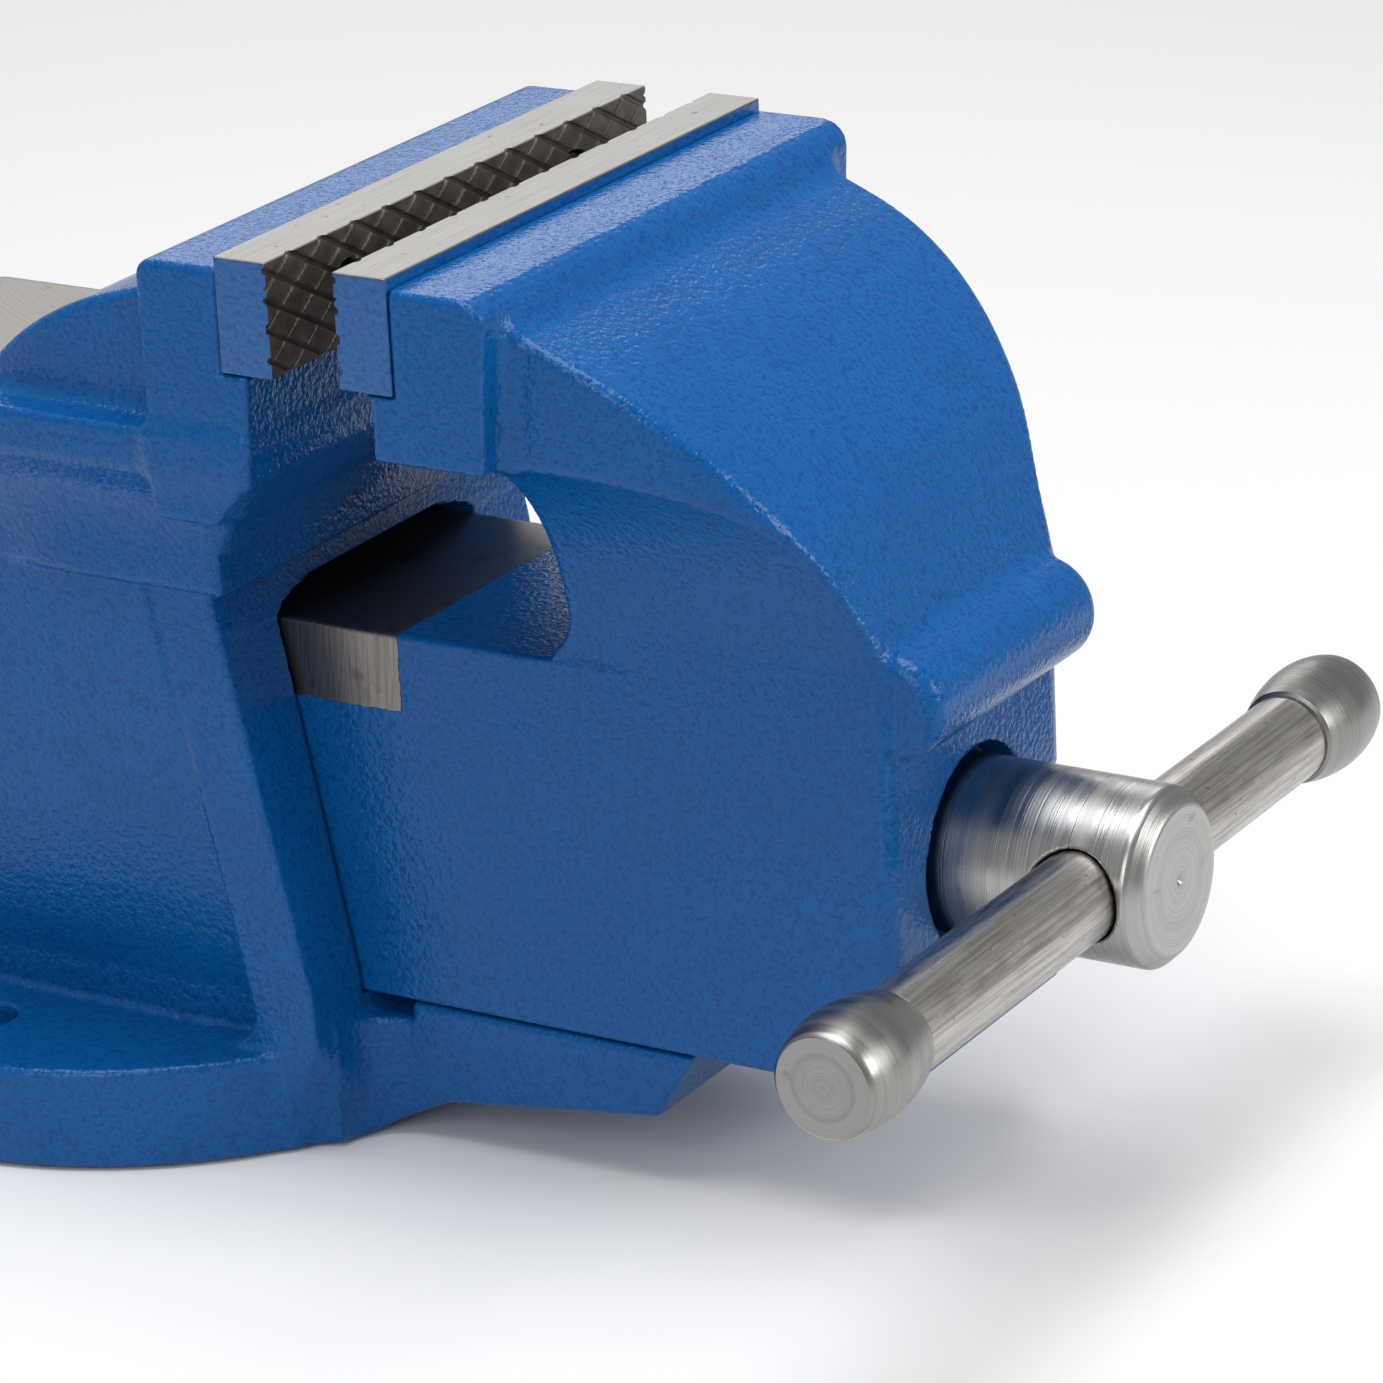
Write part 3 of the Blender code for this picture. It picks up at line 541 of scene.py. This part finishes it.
# %% Rings round an axis
def lathe(name, profile, axis, centre, around=96):
    """A ring of radius r at distance a along the axis for each (r, a) of the profile, with closed ends."""
    turns = np.linspace(0, 2 * math.pi, around, endpoint=False)
    radius = np.outer([r for r, _ in profile], np.ones(around))
    along = np.outer([a for _, a in profile], np.ones(around))
    return ring_piece(name, radius, along, turns, axis, centre)


def ring_piece(name, radius, along, turns, axis, centre, sharp=32):
    """A closed surface from arrays of radius and place along the axis: each row is a ring, each end a point.

    Edges over sharp degrees stay sharp, and the faces are turned outwards if the volume comes out negative.
    """
    rows, around = radius.shape
    u, v = radius * np.cos(turns), radius * np.sin(turns)
    order = {"X": (2, 0, 1), "Y": (1, 2, 0), "Z": (0, 1, 2)}[axis]
    rings = np.stack([u, v, along], -1)[..., order].reshape(-1, 3)
    ends = np.array([[0, 0, along[0].mean()], [0, 0, along[-1].mean()]])[:, order]
    points = np.concatenate([rings, ends]) + np.array(centre)
    row, column = np.mgrid[0 : rows - 1, 0:around]
    here = row * around + column
    beside = row * around + (column + 1) % around
    quads = np.stack([here, beside, beside + around, here + around], -1).reshape(-1, 4)
    ring = np.arange(around)
    after = (ring + 1) % around
    last_ring = (rows - 1) * around
    start_point = np.full(around, rows * around)
    first = np.stack([ring, start_point, after], -1)
    last = np.stack([ring + last_ring, after + last_ring, start_point + 1], -1)
    faces = quads.tolist() + first.tolist() + last.tolist()
    a, b, c, d = (points[quads[:, corner]] for corner in range(4))
    volume = (np.cross(c - a, d - b) * ((a + b + c + d) / 4 - np.array(centre))).sum()
    if volume < 0:
        faces = [face[::-1] for face in faces]
    piece = new_piece(name, points, faces)
    piece.data.set_sharp_from_angle(angle=math.radians(sharp))
    print(f"{name}: {rows} rings of {around} points")
    return piece


def stands_for(piece, node, carrier):
    """Hang a piece on the body it rides on and hide the CAD node that it replaces."""
    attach(piece, carrier)
    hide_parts(node)
    return piece


# %% The bar and its knobs
BAR_Y = sum(corner.y for corner in node_box("tommy_bar")) / 2
BAR_RADIUS, SPIGOT = 9.92, 6.0
BAR_GAP, BAR_CHAMFER = 0.3, 0.8
SHOULDERS = node_box("tommy_knob_left")[1].x, node_box("tommy_knob_right")[0].x
bar_low, bar_high = node_box("tommy_bar")

left_end, right_end = SHOULDERS[0] + BAR_GAP, SHOULDERS[1] - BAR_GAP
profile = [(SPIGOT, bar_high.x), (SPIGOT, right_end), (BAR_RADIUS - BAR_CHAMFER, right_end)]
profile += [(BAR_RADIUS, right_end - BAR_CHAMFER), (BAR_RADIUS, left_end + BAR_CHAMFER)]
profile += [(BAR_RADIUS - BAR_CHAMFER, left_end), (SPIGOT, left_end), (SPIGOT, bar_low.x)]
handle = lathe("tommy_bar_turned", profile, "X", (0, BAR_Y, SCREW_Z))
stands_for(handle, "tommy_bar", "bar")

KNOB_LENGTH, KNOB_SOCKET = 25.6, 18.6
KNOB_WIDEST, KNOB_RADIUS = 14.6, 13.0
KNOB_INNER_END, KNOB_OUTER_END = 10.7, 11.0


def knob(name, shoulder, direction):
    """A barrel: its radius falls by the square of the distance from its widest place."""
    inner = np.linspace(0.5, KNOB_WIDEST, 16)
    outer = np.linspace(KNOB_WIDEST, KNOB_LENGTH - 0.7, 14)[1:]
    along = np.concatenate([inner, outer])
    end = np.where(along < KNOB_WIDEST, KNOB_INNER_END, KNOB_OUTER_END)
    reach = np.where(along < KNOB_WIDEST, KNOB_WIDEST, KNOB_LENGTH - KNOB_WIDEST)
    radius = KNOB_RADIUS - (KNOB_RADIUS - end) * ((along - KNOB_WIDEST) / reach) ** 2
    points = [(SPIGOT + 0.3, KNOB_SOCKET), (SPIGOT + 0.3, 0), (10.1, 0), *zip(radius, along)]
    points += [(10.5, KNOB_LENGTH), (5, KNOB_LENGTH)]
    profile = [(r, direction * a) for r, a in points]
    return lathe(name, profile, "X", (shoulder, BAR_Y, SCREW_Z))


for side, shoulder, direction in (("left", SHOULDERS[0], -1), ("right", SHOULDERS[1], 1)):
    piece = knob(f"knob_{side}_turned", shoulder, direction)
    stands_for(piece, f"tommy_knob_{side}", "bar")

# %% [markdown]
# ## The screw
#
# The head has a cross hole, so it is a field: a short cylinder with a chamfer meets a hole at a right
# angle, and the edge between them is broken by a radius. The rest of the screw is a ring surface with its
# thread as a wave of the radius.

# %% The screw's head
HEAD_FRONT, SCREW_TIP = (corner.y for corner in node_box("main_screw"))
HEAD_RADIUS, HEAD_SHOULDER, HEAD_CHAMFER = 19.7, -116.6, 3.5
CROSS_HOLE = 10.3


def head_field(x, y, z):
    """A short cylinder with a chamfer, less its cross hole and the small cone of the lathe's centre."""
    out = np.hypot(x, z - SCREW_Z)
    solid = meet(out - HEAD_RADIUS, span(y, HEAD_FRONT, HEAD_SHOULDER), 0.4)
    solid = meet(solid, (out - HEAD_RADIUS + HEAD_CHAMFER - y + HEAD_FRONT) / math.sqrt(2), 0.6)
    solid = carve(solid, bar(y, z, BAR_Y, SCREW_Z, CROSS_HOLE), 0.8)
    mark = (out + (y - HEAD_FRONT) * 1.2 - 1.3) / 1.6
    return carve(solid, mark, 0.1)


head_cell = 0.6
box = (-21, HEAD_FRONT - 1, SCREW_Z - 21), (21, HEAD_SHOULDER + 1, SCREW_Z + 21)
screw_head = from_field("screw_head_turned", head_field, *box, head_cell, True, 0.1)
stands_for(screw_head, "main_screw", "spindle")

# %% [markdown]
# The thread's crest is where the angle and the place along the axis agree: their difference, counted in
# turns, loses its whole part and leaves a triangle wave. Stretched and cut off above and below, the wave
# has the flat crest and the flat root of a cut thread. It fades at both ends, as the tool is drawn out.

# %% The threaded shaft
THREAD_RADIUS, THREAD_DEPTH, THREAD_LEAD = 14.0, 2.6, 6.0
THREAD_START, THREAD_END = -49.0, 185.0
THREAD_AROUND = 60
core = THREAD_RADIUS - THREAD_DEPTH
turns = np.linspace(0, 2 * math.pi, THREAD_AROUND, endpoint=False)
step = 0.4
thread_y = np.arange(THREAD_START, THREAD_END, step)
phase = thread_y[:, None] / THREAD_LEAD - turns[None, :] / (2 * math.pi)
wave = np.clip(2.2 * np.abs(2 * (phase % 1) - 1) - 0.6, 0, 1)
run_in = np.clip((thread_y - THREAD_START) / 2 + 0.1, 0, 1)
run_out = np.clip((THREAD_END - thread_y) / 4, 0, 1)
thread = core + THREAD_DEPTH * wave * (run_out * run_in)[:, None]
plain = [(THREAD_RADIUS, HEAD_SHOULDER - 2), (THREAD_RADIUS, -60), (THREAD_RADIUS, -56)]
plain = np.array([*plain, (core, -55), (core, -51)])
tip = np.array([(core, THREAD_END + 1), (core, SCREW_TIP - 1), (core - 1, SCREW_TIP)])
ring = np.ones(THREAD_AROUND)
radius = np.concatenate([np.outer(plain[:, 0], ring), thread, np.outer(tip[:, 0], ring)])
along = np.outer(np.concatenate([plain[:, 1], thread_y, tip[:, 1]]), ring)
shaft = ring_piece("screw_shaft_threaded", radius, along, turns, "Y", (0, 0, SCREW_Z), 24)
stands_for(shaft, "main_screw", "spindle")
print(f"thread: {(THREAD_END - THREAD_START) / THREAD_LEAD:.0f} turns, lead {THREAD_LEAD} mm")

# %% [markdown]
# ## Finishes
#
# Every material is a small tree of nodes, and most of them need the same first step: the place in the
# drawing's millimetres. A little class keeps that and turns each node into one call, so a finish reads as
# a recipe.


# %% A bench for building materials
class Finish:
    """A material under construction, with the place in the drawing's millimetres ready to use."""

    def __init__(self, name):
        self.material = bpy.data.materials.new(name)
        self.material.use_nodes = True
        self.tree = self.material.node_tree
        self.shader = self.tree.nodes["Principled BSDF"].inputs
        place = self.tree.nodes.new("ShaderNodeTexCoord").outputs["Object"]
        origin = (0, -GRIP_Y / MM, -JAW_TOP / MM)
        self.place = self.node("VectorMath", place, (1 / MM,) * 3, origin, operation="MULTIPLY_ADD")
        split = self.tree.nodes.new("ShaderNodeSeparateXYZ")
        self.feed(split.inputs[0], self.place)
        self.x, self.y, self.z = split.outputs

    def feed(self, socket, value):
        """Link an output to a socket, or set a number, vector or colour on it."""
        if isinstance(value, bpy.types.NodeSocket):
            self.tree.links.new(value, socket)
        else:
            socket.default_value = value

    def node(self, kind, *values, output=0, **settings):
        """A node with its settings and its first inputs, given back as one of its outputs."""
        made = self.tree.nodes.new("ShaderNode" + kind)
        for key, value in settings.items():
            setattr(made, key, value)
        for socket, value in zip(made.inputs, values):
            if value is not None:
                self.feed(socket, value)
        return made.outputs[output]

    def sum(self, a, b):
        return self.node("Math", a, b, operation="ADD")

    def times(self, a, b):
        return self.node("Math", a, b, operation="MULTIPLY")

    def least(self, a, b):
        return self.node("Math", a, b, operation="MINIMUM")

    def most(self, a, b):
        return self.node("Math", a, b, operation="MAXIMUM")

    def smooth(self, value, low, high, start=0.0, end=1.0):
        """From start to end as the value goes from low to high, with an S-shaped change between."""
        made = self.tree.nodes.new("ShaderNodeMapRange")
        made.interpolation_type = "SMOOTHSTEP"
        for socket, given in zip(made.inputs, (value, low, high, start, end)):
            self.feed(socket, given)
        return made.outputs[0]

    def noise(self, size, detail=2.0, place=None, roughness=0.5):
        """Noise whose lumps are about size millimetres across, or as long as each of three sizes."""
        sizes = (size,) * 3 if isinstance(size, (int, float)) else size
        shrink = tuple(1 / s for s in sizes)
        scaled = self.node("VectorMath", place or self.place, shrink, operation="MULTIPLY")
        made = self.tree.nodes.new("ShaderNodeTexNoise")
        made.inputs["Scale"].default_value = 1.0
        made.inputs["Detail"].default_value = detail
        made.inputs["Roughness"].default_value = roughness
        self.feed(made.inputs["Vector"], scaled)
        return made.outputs["Fac"]

    def blend(self, share, a, b):
        """A colour between a and b."""
        made = self.tree.nodes.new("ShaderNodeMix")
        made.data_type = "RGBA"
        for socket, value in zip((made.inputs[0], made.inputs[6], made.inputs[7]), (share, a, b)):
            self.feed(socket, value if isinstance(value, (bpy.types.NodeSocket, float)) else (*value, 1))
        return made.outputs[2]

    def between(self, share, a, b):
        """A number between a and b."""
        made = self.tree.nodes.new("ShaderNodeMix")
        for socket, value in zip((made.inputs[0], made.inputs[2], made.inputs[3]), (share, a, b)):
            self.feed(socket, value)
        return made.outputs[0]

    def inside(self, low, high):
        """How many millimetres a place is inside a box, negative outside."""
        depth = None
        for coordinate, a, b in zip((self.x, self.y, self.z), low, high):
            past_low = self.sum(coordinate, -a)
            before_high = self.node("Math", b, coordinate, operation="SUBTRACT")
            nearest = self.least(past_low, before_high)
            depth = nearest if depth is None else self.least(depth, nearest)
        return depth

    def relief(self, height, millimetres):
        """Bump: a height of 0 to 1 stands for so many millimetres."""
        made = self.tree.nodes.new("ShaderNodeBump")
        made.inputs["Strength"].default_value = 1.0
        made.inputs["Distance"].default_value = millimetres * MM
        self.feed(made.inputs["Height"], height)
        self.feed(self.shader["Normal"], made.outputs["Normal"])


def wear(piece, finish):
    """Give a piece one finish and nothing else."""
    piece.data.materials.clear()
    piece.data.materials.append(finish.material)
    print(f"{piece.name} wears {finish.material.name}")


# %% [markdown]
# ## Enamel, and iron where it was milled off
#
# The castings were sprayed with a thick gloss enamel, which dries in a skin of shallow dimples like an
# orange's. Afterwards the slide's guides and the anvil were milled, so the same piece is blue in one
# place and bare in another. One material holds both: a box in the drawing says where the cutter went,
# with a chipped edge.

# %% Enamel
BLUE = (0.0020, 0.086, 0.290)
# DEEP_BLUE is painted shade in the enamel's dimples, and also the tone of its larger random patches
DEEP_BLUE = (0.0012, 0.060, 0.222)
BARE_IRON = (0.300, 0.280, 0.255)
DARK_IRON = (0.16, 0.15, 0.14)
STAIN = (0.110, 0.065, 0.030)


def enamelled(name, milled_box, milling_centre):
    """Dimpled enamel with painted shade in its dimples outside the milled box, and iron inside it, with rings
    round the cutter's centre.
    """
    made = Finish(name)
    made.shader["Specular IOR Level"].default_value = 0.24
    peel = made.noise(1.5, 1.5)
    fine = made.noise(0.7, 1.0)
    # painted shade: the dimples of the peel, low in the bump, are coloured a darker blue
    painted_dimple_shade = made.smooth(made.sum(peel, made.times(made.sum(fine, -0.5), 0.9)), 0.32, 0.50)
    patches = made.noise(30, 2.0)
    colour = made.blend(painted_dimple_shade, DEEP_BLUE, BLUE)
    colour = made.blend(made.smooth(patches, 0.35, 0.7, 0, 0.25), colour, DEEP_BLUE)
    chips = made.noise(1.6, 3.0)
    depth = made.sum(made.inside(*milled_box), made.times(made.sum(chips, -0.5), 1.2))
    bare = made.smooth(depth, -0.1, 0.1)
    from_centre = made.node("VectorMath", made.place, milling_centre, operation="DISTANCE", output=1)
    rings = made.node("CombineXYZ", from_centre, 0.0, 0.0)
    marks = made.noise((0.55, 1, 1), 2.0, rings)
    scratches = made.noise((0.35, 0.35, 14), 2.0)
    grain = made.between(0.5, marks, scratches)
    iron = made.blend(made.smooth(grain, 0.3, 0.7), DARK_IRON, BARE_IRON)
    iron = made.blend(made.smooth(made.noise(7, 3.0), 0.58, 0.75, 0, 0.5), iron, STAIN)
    made.feed(made.shader["Base Color"], made.blend(bare, colour, iron))
    made.feed(made.shader["Metallic"], bare)
    gloss = made.smooth(patches, 0.3, 0.7, 0.13, 0.20)
    made.feed(made.shader["Roughness"], made.between(bare, gloss, 0.34))
    skin = made.sum(peel, made.times(fine, 0.35))
    made.relief(made.between(bare, skin, made.times(grain, 0.12)), 0.34)
    return made


anvil_box = ((-49, 89.5, ANVIL_TOP - 0.35), (49, 170, ANVIL_TOP + 1))
wear(body, enamelled("enamel_on_body", anvil_box, (260, 0, ANVIL_TOP)))
guide_box = ((-39, -0.9, -111.2), (39, SLIDE_REAR + 1, SLIDE_TOP + 1))
wear(jaw, enamelled("enamel_on_jaw", guide_box, (70, 90, SLIDE_TOP)))

# %% [markdown]
# ## Bare steels
#
# A turning tool leaves fine rings, on the end face round the centre and on the side round the axis. Noise
# that only sees the distance from the axis and the place along it gives both. The rings also stretch
# every highlight across them, which an anisotropic shader does when it knows which way the tool went: the
# tangent.


# %% Turned steel
def turned(name, axis, centre, colour=(0.43, 0.425, 0.415), roughness=0.27, rings=0.05, stretch=0.5):
    """Turned steel: fine lines of tool marks, broad bands of gloss, and a few brown stains."""
    made = Finish(name)
    radial = tuple(0.0 if letter == axis else 1.0 for letter in "XYZ")
    along = tuple(1.0 - share for share in radial)
    from_centre = made.node("VectorMath", made.place, centre, operation="SUBTRACT")
    flat = made.node("VectorMath", from_centre, radial, operation="MULTIPLY")
    out = made.node("VectorMath", flat, operation="LENGTH", output=1)
    on = made.node("VectorMath", from_centre, along, operation="DOT_PRODUCT", output=1)
    place = made.node("CombineXYZ", out, on, 0.0)
    lines = made.noise((0.35, 0.35, 1), 3.0, place, 0.65)
    bands = made.noise((2.5, 4.0, 1), 2.0, place)
    stains = made.noise(6.0, 4.0, None, 0.6)
    shade = made.blend(made.smooth(lines, 0.3, 0.7), tuple(0.72 * c for c in colour), colour)
    shade = made.blend(made.smooth(stains, 0.62, 0.78, 0, 0.45), shade, STAIN)
    made.feed(made.shader["Base Color"], shade)
    made.shader["Metallic"].default_value = 1.0
    made.shader["Anisotropic"].default_value = stretch
    way = made.node("VectorMath", along, flat, operation="CROSS_PRODUCT")
    way = made.node("VectorTransform", way, vector_type="VECTOR", convert_from="OBJECT", convert_to="WORLD")
    made.feed(made.shader["Tangent"], made.node("VectorMath", way, operation="NORMALIZE"))
    made.feed(made.shader["Roughness"], made.smooth(bands, 0.3, 0.7, roughness - 0.06, roughness + 0.08))
    made.relief(lines, rings)
    return made


head_steel = turned("turned_head_steel", "Y", (0, 0, SCREW_Z))
knob_steel = turned("turned_knob_steel", "X", (0, BAR_Y, SCREW_Z), (0.32, 0.315, 0.305), 0.33)
thread_steel = turned("oiled_thread_steel", "Y", (0, 0, SCREW_Z), (0.30, 0.29, 0.275), 0.30, 0.02, 0.3)
wear(screw_head, head_steel)
wear(shaft, thread_steel)
for side in ("left", "right"):
    wear(bpy.data.objects[f"knob_{side}_turned"], knob_steel)

# %% [markdown]
# The bar was not turned but drawn through a die, which leaves streaks along it. Noise that is stretched
# along X makes them, with wisps of old oil and small brown spots where hands have been.


# %% Drawn steel for the bar
def drawn_bar():
    """Bright drawn bar: long streaks along it, and small brown spots."""
    made = Finish("drawn_bar_steel")
    streaks = made.noise((34, 0.7, 0.7), 3.0, None, 0.6)
    wisps = made.noise((9, 1.6, 1.6), 3.0)
    spots = made.noise(2.2, 3.0)
    dull, bright, oily = (0.30, 0.285, 0.265), (0.52, 0.505, 0.48), (0.20, 0.18, 0.16)
    shade = made.blend(made.smooth(streaks, 0.3, 0.7), dull, bright)
    shade = made.blend(made.smooth(wisps, 0.55, 0.75, 0, 0.35), shade, oily)
    shade = made.blend(made.smooth(spots, 0.66, 0.74, 0, 0.7), shade, STAIN)
    made.feed(made.shader["Base Color"], shade)
    made.shader["Metallic"].default_value = 1.0
    made.feed(made.shader["Roughness"], made.smooth(wisps, 0.3, 0.7, 0.26, 0.38))
    made.relief(streaks, 0.04)
    return made


wear(handle, drawn_bar())

# %% [markdown]
# ## Plates with three finishes
#
# A jaw plate is hardened, which leaves a brown scale, and then its top is ground bright. The vise was
# painted with its plates on, so their ends are blue and some paint ran behind them. The place on the
# plate decides between the three, and a little noise in the place gives the paint an uneven edge.


# %% Plates: ground on top, scaled on the grip, painted at the ends
def plate_finish(name, grip_y, direction):
    """Paint at the ends and the back, ground steel on the top edge, and hardening scale on the grip."""
    made = Finish(name)
    depth_in = made.times(made.sum(made.y, -grip_y), float(direction))
    wobble = made.times(made.sum(made.noise(2.0, 3.0), -0.5), 0.8)
    end = made.sum(made.node("Math", made.x, operation="ABSOLUTE"), -HALF + 0.15)
    back = made.sum(depth_in, -PLATE_THICK + 0.25)
    painted = made.smooth(made.sum(made.most(end, back), made.times(wobble, 0.4)), -0.08, 0.08)
    painted = made.times(painted, made.smooth(made.sum(made.z, wobble), -0.5, -0.3, 1, 0))
    peel = made.noise(1.5, 1.5)
    # painted shade: the paint's dimples, from the peel noise, are coloured a darker blue
    paint = made.blend(made.smooth(peel, 0.3, 0.5), DEEP_BLUE, BLUE)
    streaks = made.noise((26, 0.5, 0.5), 3.0)
    dull, bright = (0.30, 0.29, 0.28), (0.38, 0.37, 0.36)
    top = made.blend(made.smooth(streaks, 0.3, 0.7), dull, bright)
    top = made.blend(made.smooth(made.noise(3.0, 3.0), 0.66, 0.72, 0, 0.6), top, STAIN)
    dark, brown = (0.055, 0.046, 0.040), (0.115, 0.095, 0.080)
    scale = made.blend(made.smooth(made.noise(5, 4.0), 0.3, 0.7), dark, brown)
    ground = made.smooth(made.z, -0.30, -0.15)
    steel = made.blend(ground, scale, top)
    made.feed(made.shader["Base Color"], made.blend(painted, steel, paint))
    unpainted = made.sum(1.0, made.times(painted, -1.0))
    made.feed(made.shader["Metallic"], made.times(made.between(ground, 0.6, 1.0), unpainted))
    made.feed(made.shader["Roughness"], made.between(painted, made.between(ground, 0.5, 0.42), 0.2))
    made.relief(made.between(painted, made.times(streaks, 0.12), peel), 0.28)
    return made


wear(plates[0], plate_finish("rear_plate_steel", 0.0, 1))
wear(plates[1], plate_finish("front_plate_steel", FRONT_GRIP_Y, -1))

# %% [markdown]
# ## The small pieces inside
#
# The screws, the nut and the parts that hold the screw in the front jaw are simple shapes that hardly
# show, so the CAD nodes stay. Each gets a metal of its kind: black oxide on screws, blued spring steel,
# grey iron for the nut, bronze where the head rubs, and zinc on the washers.


# %% Small pieces
def plain_metal(name, dark, light, roughness, metallic=1.0, size=4.0, relief=0.04):
    """Metal mottled between two colours, with a roughness that follows the mottling."""
    made = Finish(name)
    mottle = made.noise(size, 4.0, None, 0.6)
    grain = made.noise(0.5, 2.0)
    made.feed(made.shader["Base Color"], made.blend(made.smooth(mottle, 0.3, 0.7), dark, light))
    made.shader["Metallic"].default_value = metallic
    made.feed(made.shader["Roughness"], made.smooth(mottle, 0.3, 0.7, roughness + 0.08, roughness - 0.05))
    made.relief(grain, relief)
    return made


black_oxide = plain_metal("black_oxide_steel", (0.018, 0.018, 0.020), (0.050, 0.048, 0.050), 0.38)
spring_steel = plain_metal("blued_spring_steel", (0.10, 0.10, 0.115), (0.20, 0.19, 0.19), 0.30)
grey_iron = plain_metal("machined_grey_iron", (0.13, 0.125, 0.12), (0.24, 0.23, 0.22), 0.42)
bronze = plain_metal("cast_bronze", (0.36, 0.21, 0.07), (0.52, 0.33, 0.13), 0.34)
washer_steel = plain_metal("zinc_plated_steel", (0.42, 0.42, 0.43), (0.58, 0.58, 0.57), 0.33)
for node, finish in {
    "rear_plate_screw_left": black_oxide,
    "rear_plate_screw_right": black_oxide,
    "front_plate_screw_left": black_oxide,
    "front_plate_screw_right": black_oxide,
    "nut_bolt_front": black_oxide,
    "nut_bolt_rear": black_oxide,
    "retaining_collar": black_oxide,
    "collar_pin": black_oxide,
    "retaining_spring": spring_steel,
    "main_nut": grey_iron,
    "thrust_washer": bronze,
    "spring_washer": washer_steel,
    "nut_bolt_washer_front": washer_steel,
    "nut_bolt_washer_rear": washer_steel,
}.items():
    wear(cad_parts[node], finish)

# %% [markdown]
# ## Camera and studio
#
# A long lens over the front left corner keeps the vise's lines nearly parallel. Its axes are worked out
# from an azimuth, an elevation and a small roll, which say more to a reader than a matrix of nine numbers
# would.

# %% The camera
scene = bpy.context.scene


def looking(azimuth, elevation, roll):
    """Camera axes for a view from azimuth and elevation, turned about its own line of sight by roll."""
    a, e, r = (math.radians(angle) for angle in (azimuth, elevation, roll))
    right = Vector((math.cos(a), math.sin(a), 0))
    back = Vector((math.sin(a) * math.cos(e), -math.cos(a) * math.cos(e), math.sin(e)))
    up = back.cross(right)
    turned_right = right * math.cos(r) + up * math.sin(r)
    turned_up = up * math.cos(r) - right * math.sin(r)
    return Matrix((turned_right, turned_up, back)).transposed()


LENS = 156.2
CAMERA_PLACE = (-1.03356, -0.79373, 0.55653)
AZIMUTH, ELEVATION, ROLL = -57.9887, 20.5174, -2.8262
camera_data = bpy.data.cameras.new("camera")
camera_data.sensor_width = 36
camera_data.lens = LENS
camera_data.clip_end = 20
camera = bpy.data.objects.new("camera", camera_data)
scene.collection.objects.link(camera)
camera.matrix_world = Matrix.Translation(CAMERA_PLACE) @ looking(AZIMUTH, ELEVATION, ROLL).to_4x4()
scene.camera = camera
print(f"camera: {LENS} mm lens, {Vector(CAMERA_PLACE).length:.2f} m away")

# %% [markdown]
# The studio is a pale floor under an even white sky, with four soft boxes: a large one overhead, one at
# the left and one in front, and a weak one behind that draws the tops. Their edges give gloss paint its
# skin, and turned steel its bright and dark bands.


# %% Floor and lights
def soft_light(name, place, aim, size, power):
    """A rectangle of light in metres at a place, turned towards its aim."""
    data = bpy.data.lights.new(name, "AREA")
    data.shape = "RECTANGLE"
    data.size, data.size_y = size
    data.energy = power
    light = bpy.data.objects.new(name, data)
    light.location = place
    light.rotation_euler = (Vector(aim) - Vector(place)).to_track_quat("-Z", "Y").to_euler()
    scene.collection.objects.link(light)
    print(f"{name} light: {power} W")


FLOOR_DROP = 0.0005
bpy.ops.mesh.primitive_plane_add(size=12, location=(0, 0, -FLOOR_DROP))
floor = bpy.context.object
floor.name = "floor"
floor_finish = bpy.data.materials.new("pale_floor")
floor_finish.use_nodes = True
floor_shader = floor_finish.node_tree.nodes["Principled BSDF"].inputs
floor_shader["Base Color"].default_value = (0.82, 0.82, 0.82, 1)
floor_shader["Roughness"].default_value = 0.9
floor.data.materials.append(floor_finish)
floor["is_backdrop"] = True

world = bpy.data.worlds.new("studio")
world.use_nodes = True
sky = world.node_tree.nodes["Background"].inputs
sky["Color"].default_value = (1, 1, 1, 1)
sky["Strength"].default_value = 0.40
scene.world = world
soft_light("overhead", (-0.1, -0.1, 1.3), (0, 0, 0.1), (1.0, 0.9), 14)
soft_light("left", (-1.5, -0.3, 0.8), (0, 0, 0.1), (0.7, 0.9), 6)
soft_light("front", (0.35, -1.6, 0.7), (0, -0.1, 0.1), (0.8, 0.7), 11)
soft_light("behind", (1.25, 0.85, 0.95), (0, 0, 0.15), (1.1, 0.8), 4.5)
scene.view_settings.view_transform = "Standard"

# %% [markdown]
# ## Check the size
#
# The surfaces have to fill the same box as the CAD model they stand for. Both boxes are measured and
# kept, and their largest difference is printed.

# %% Check the size and finish
visual_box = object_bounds()
off = max(abs(a - b) for cad, seen in zip(cad_box, visual_box) for a, b in zip(cad, seen))
print(f"largest difference from the CAD box: {off / MM:.2f} mm")
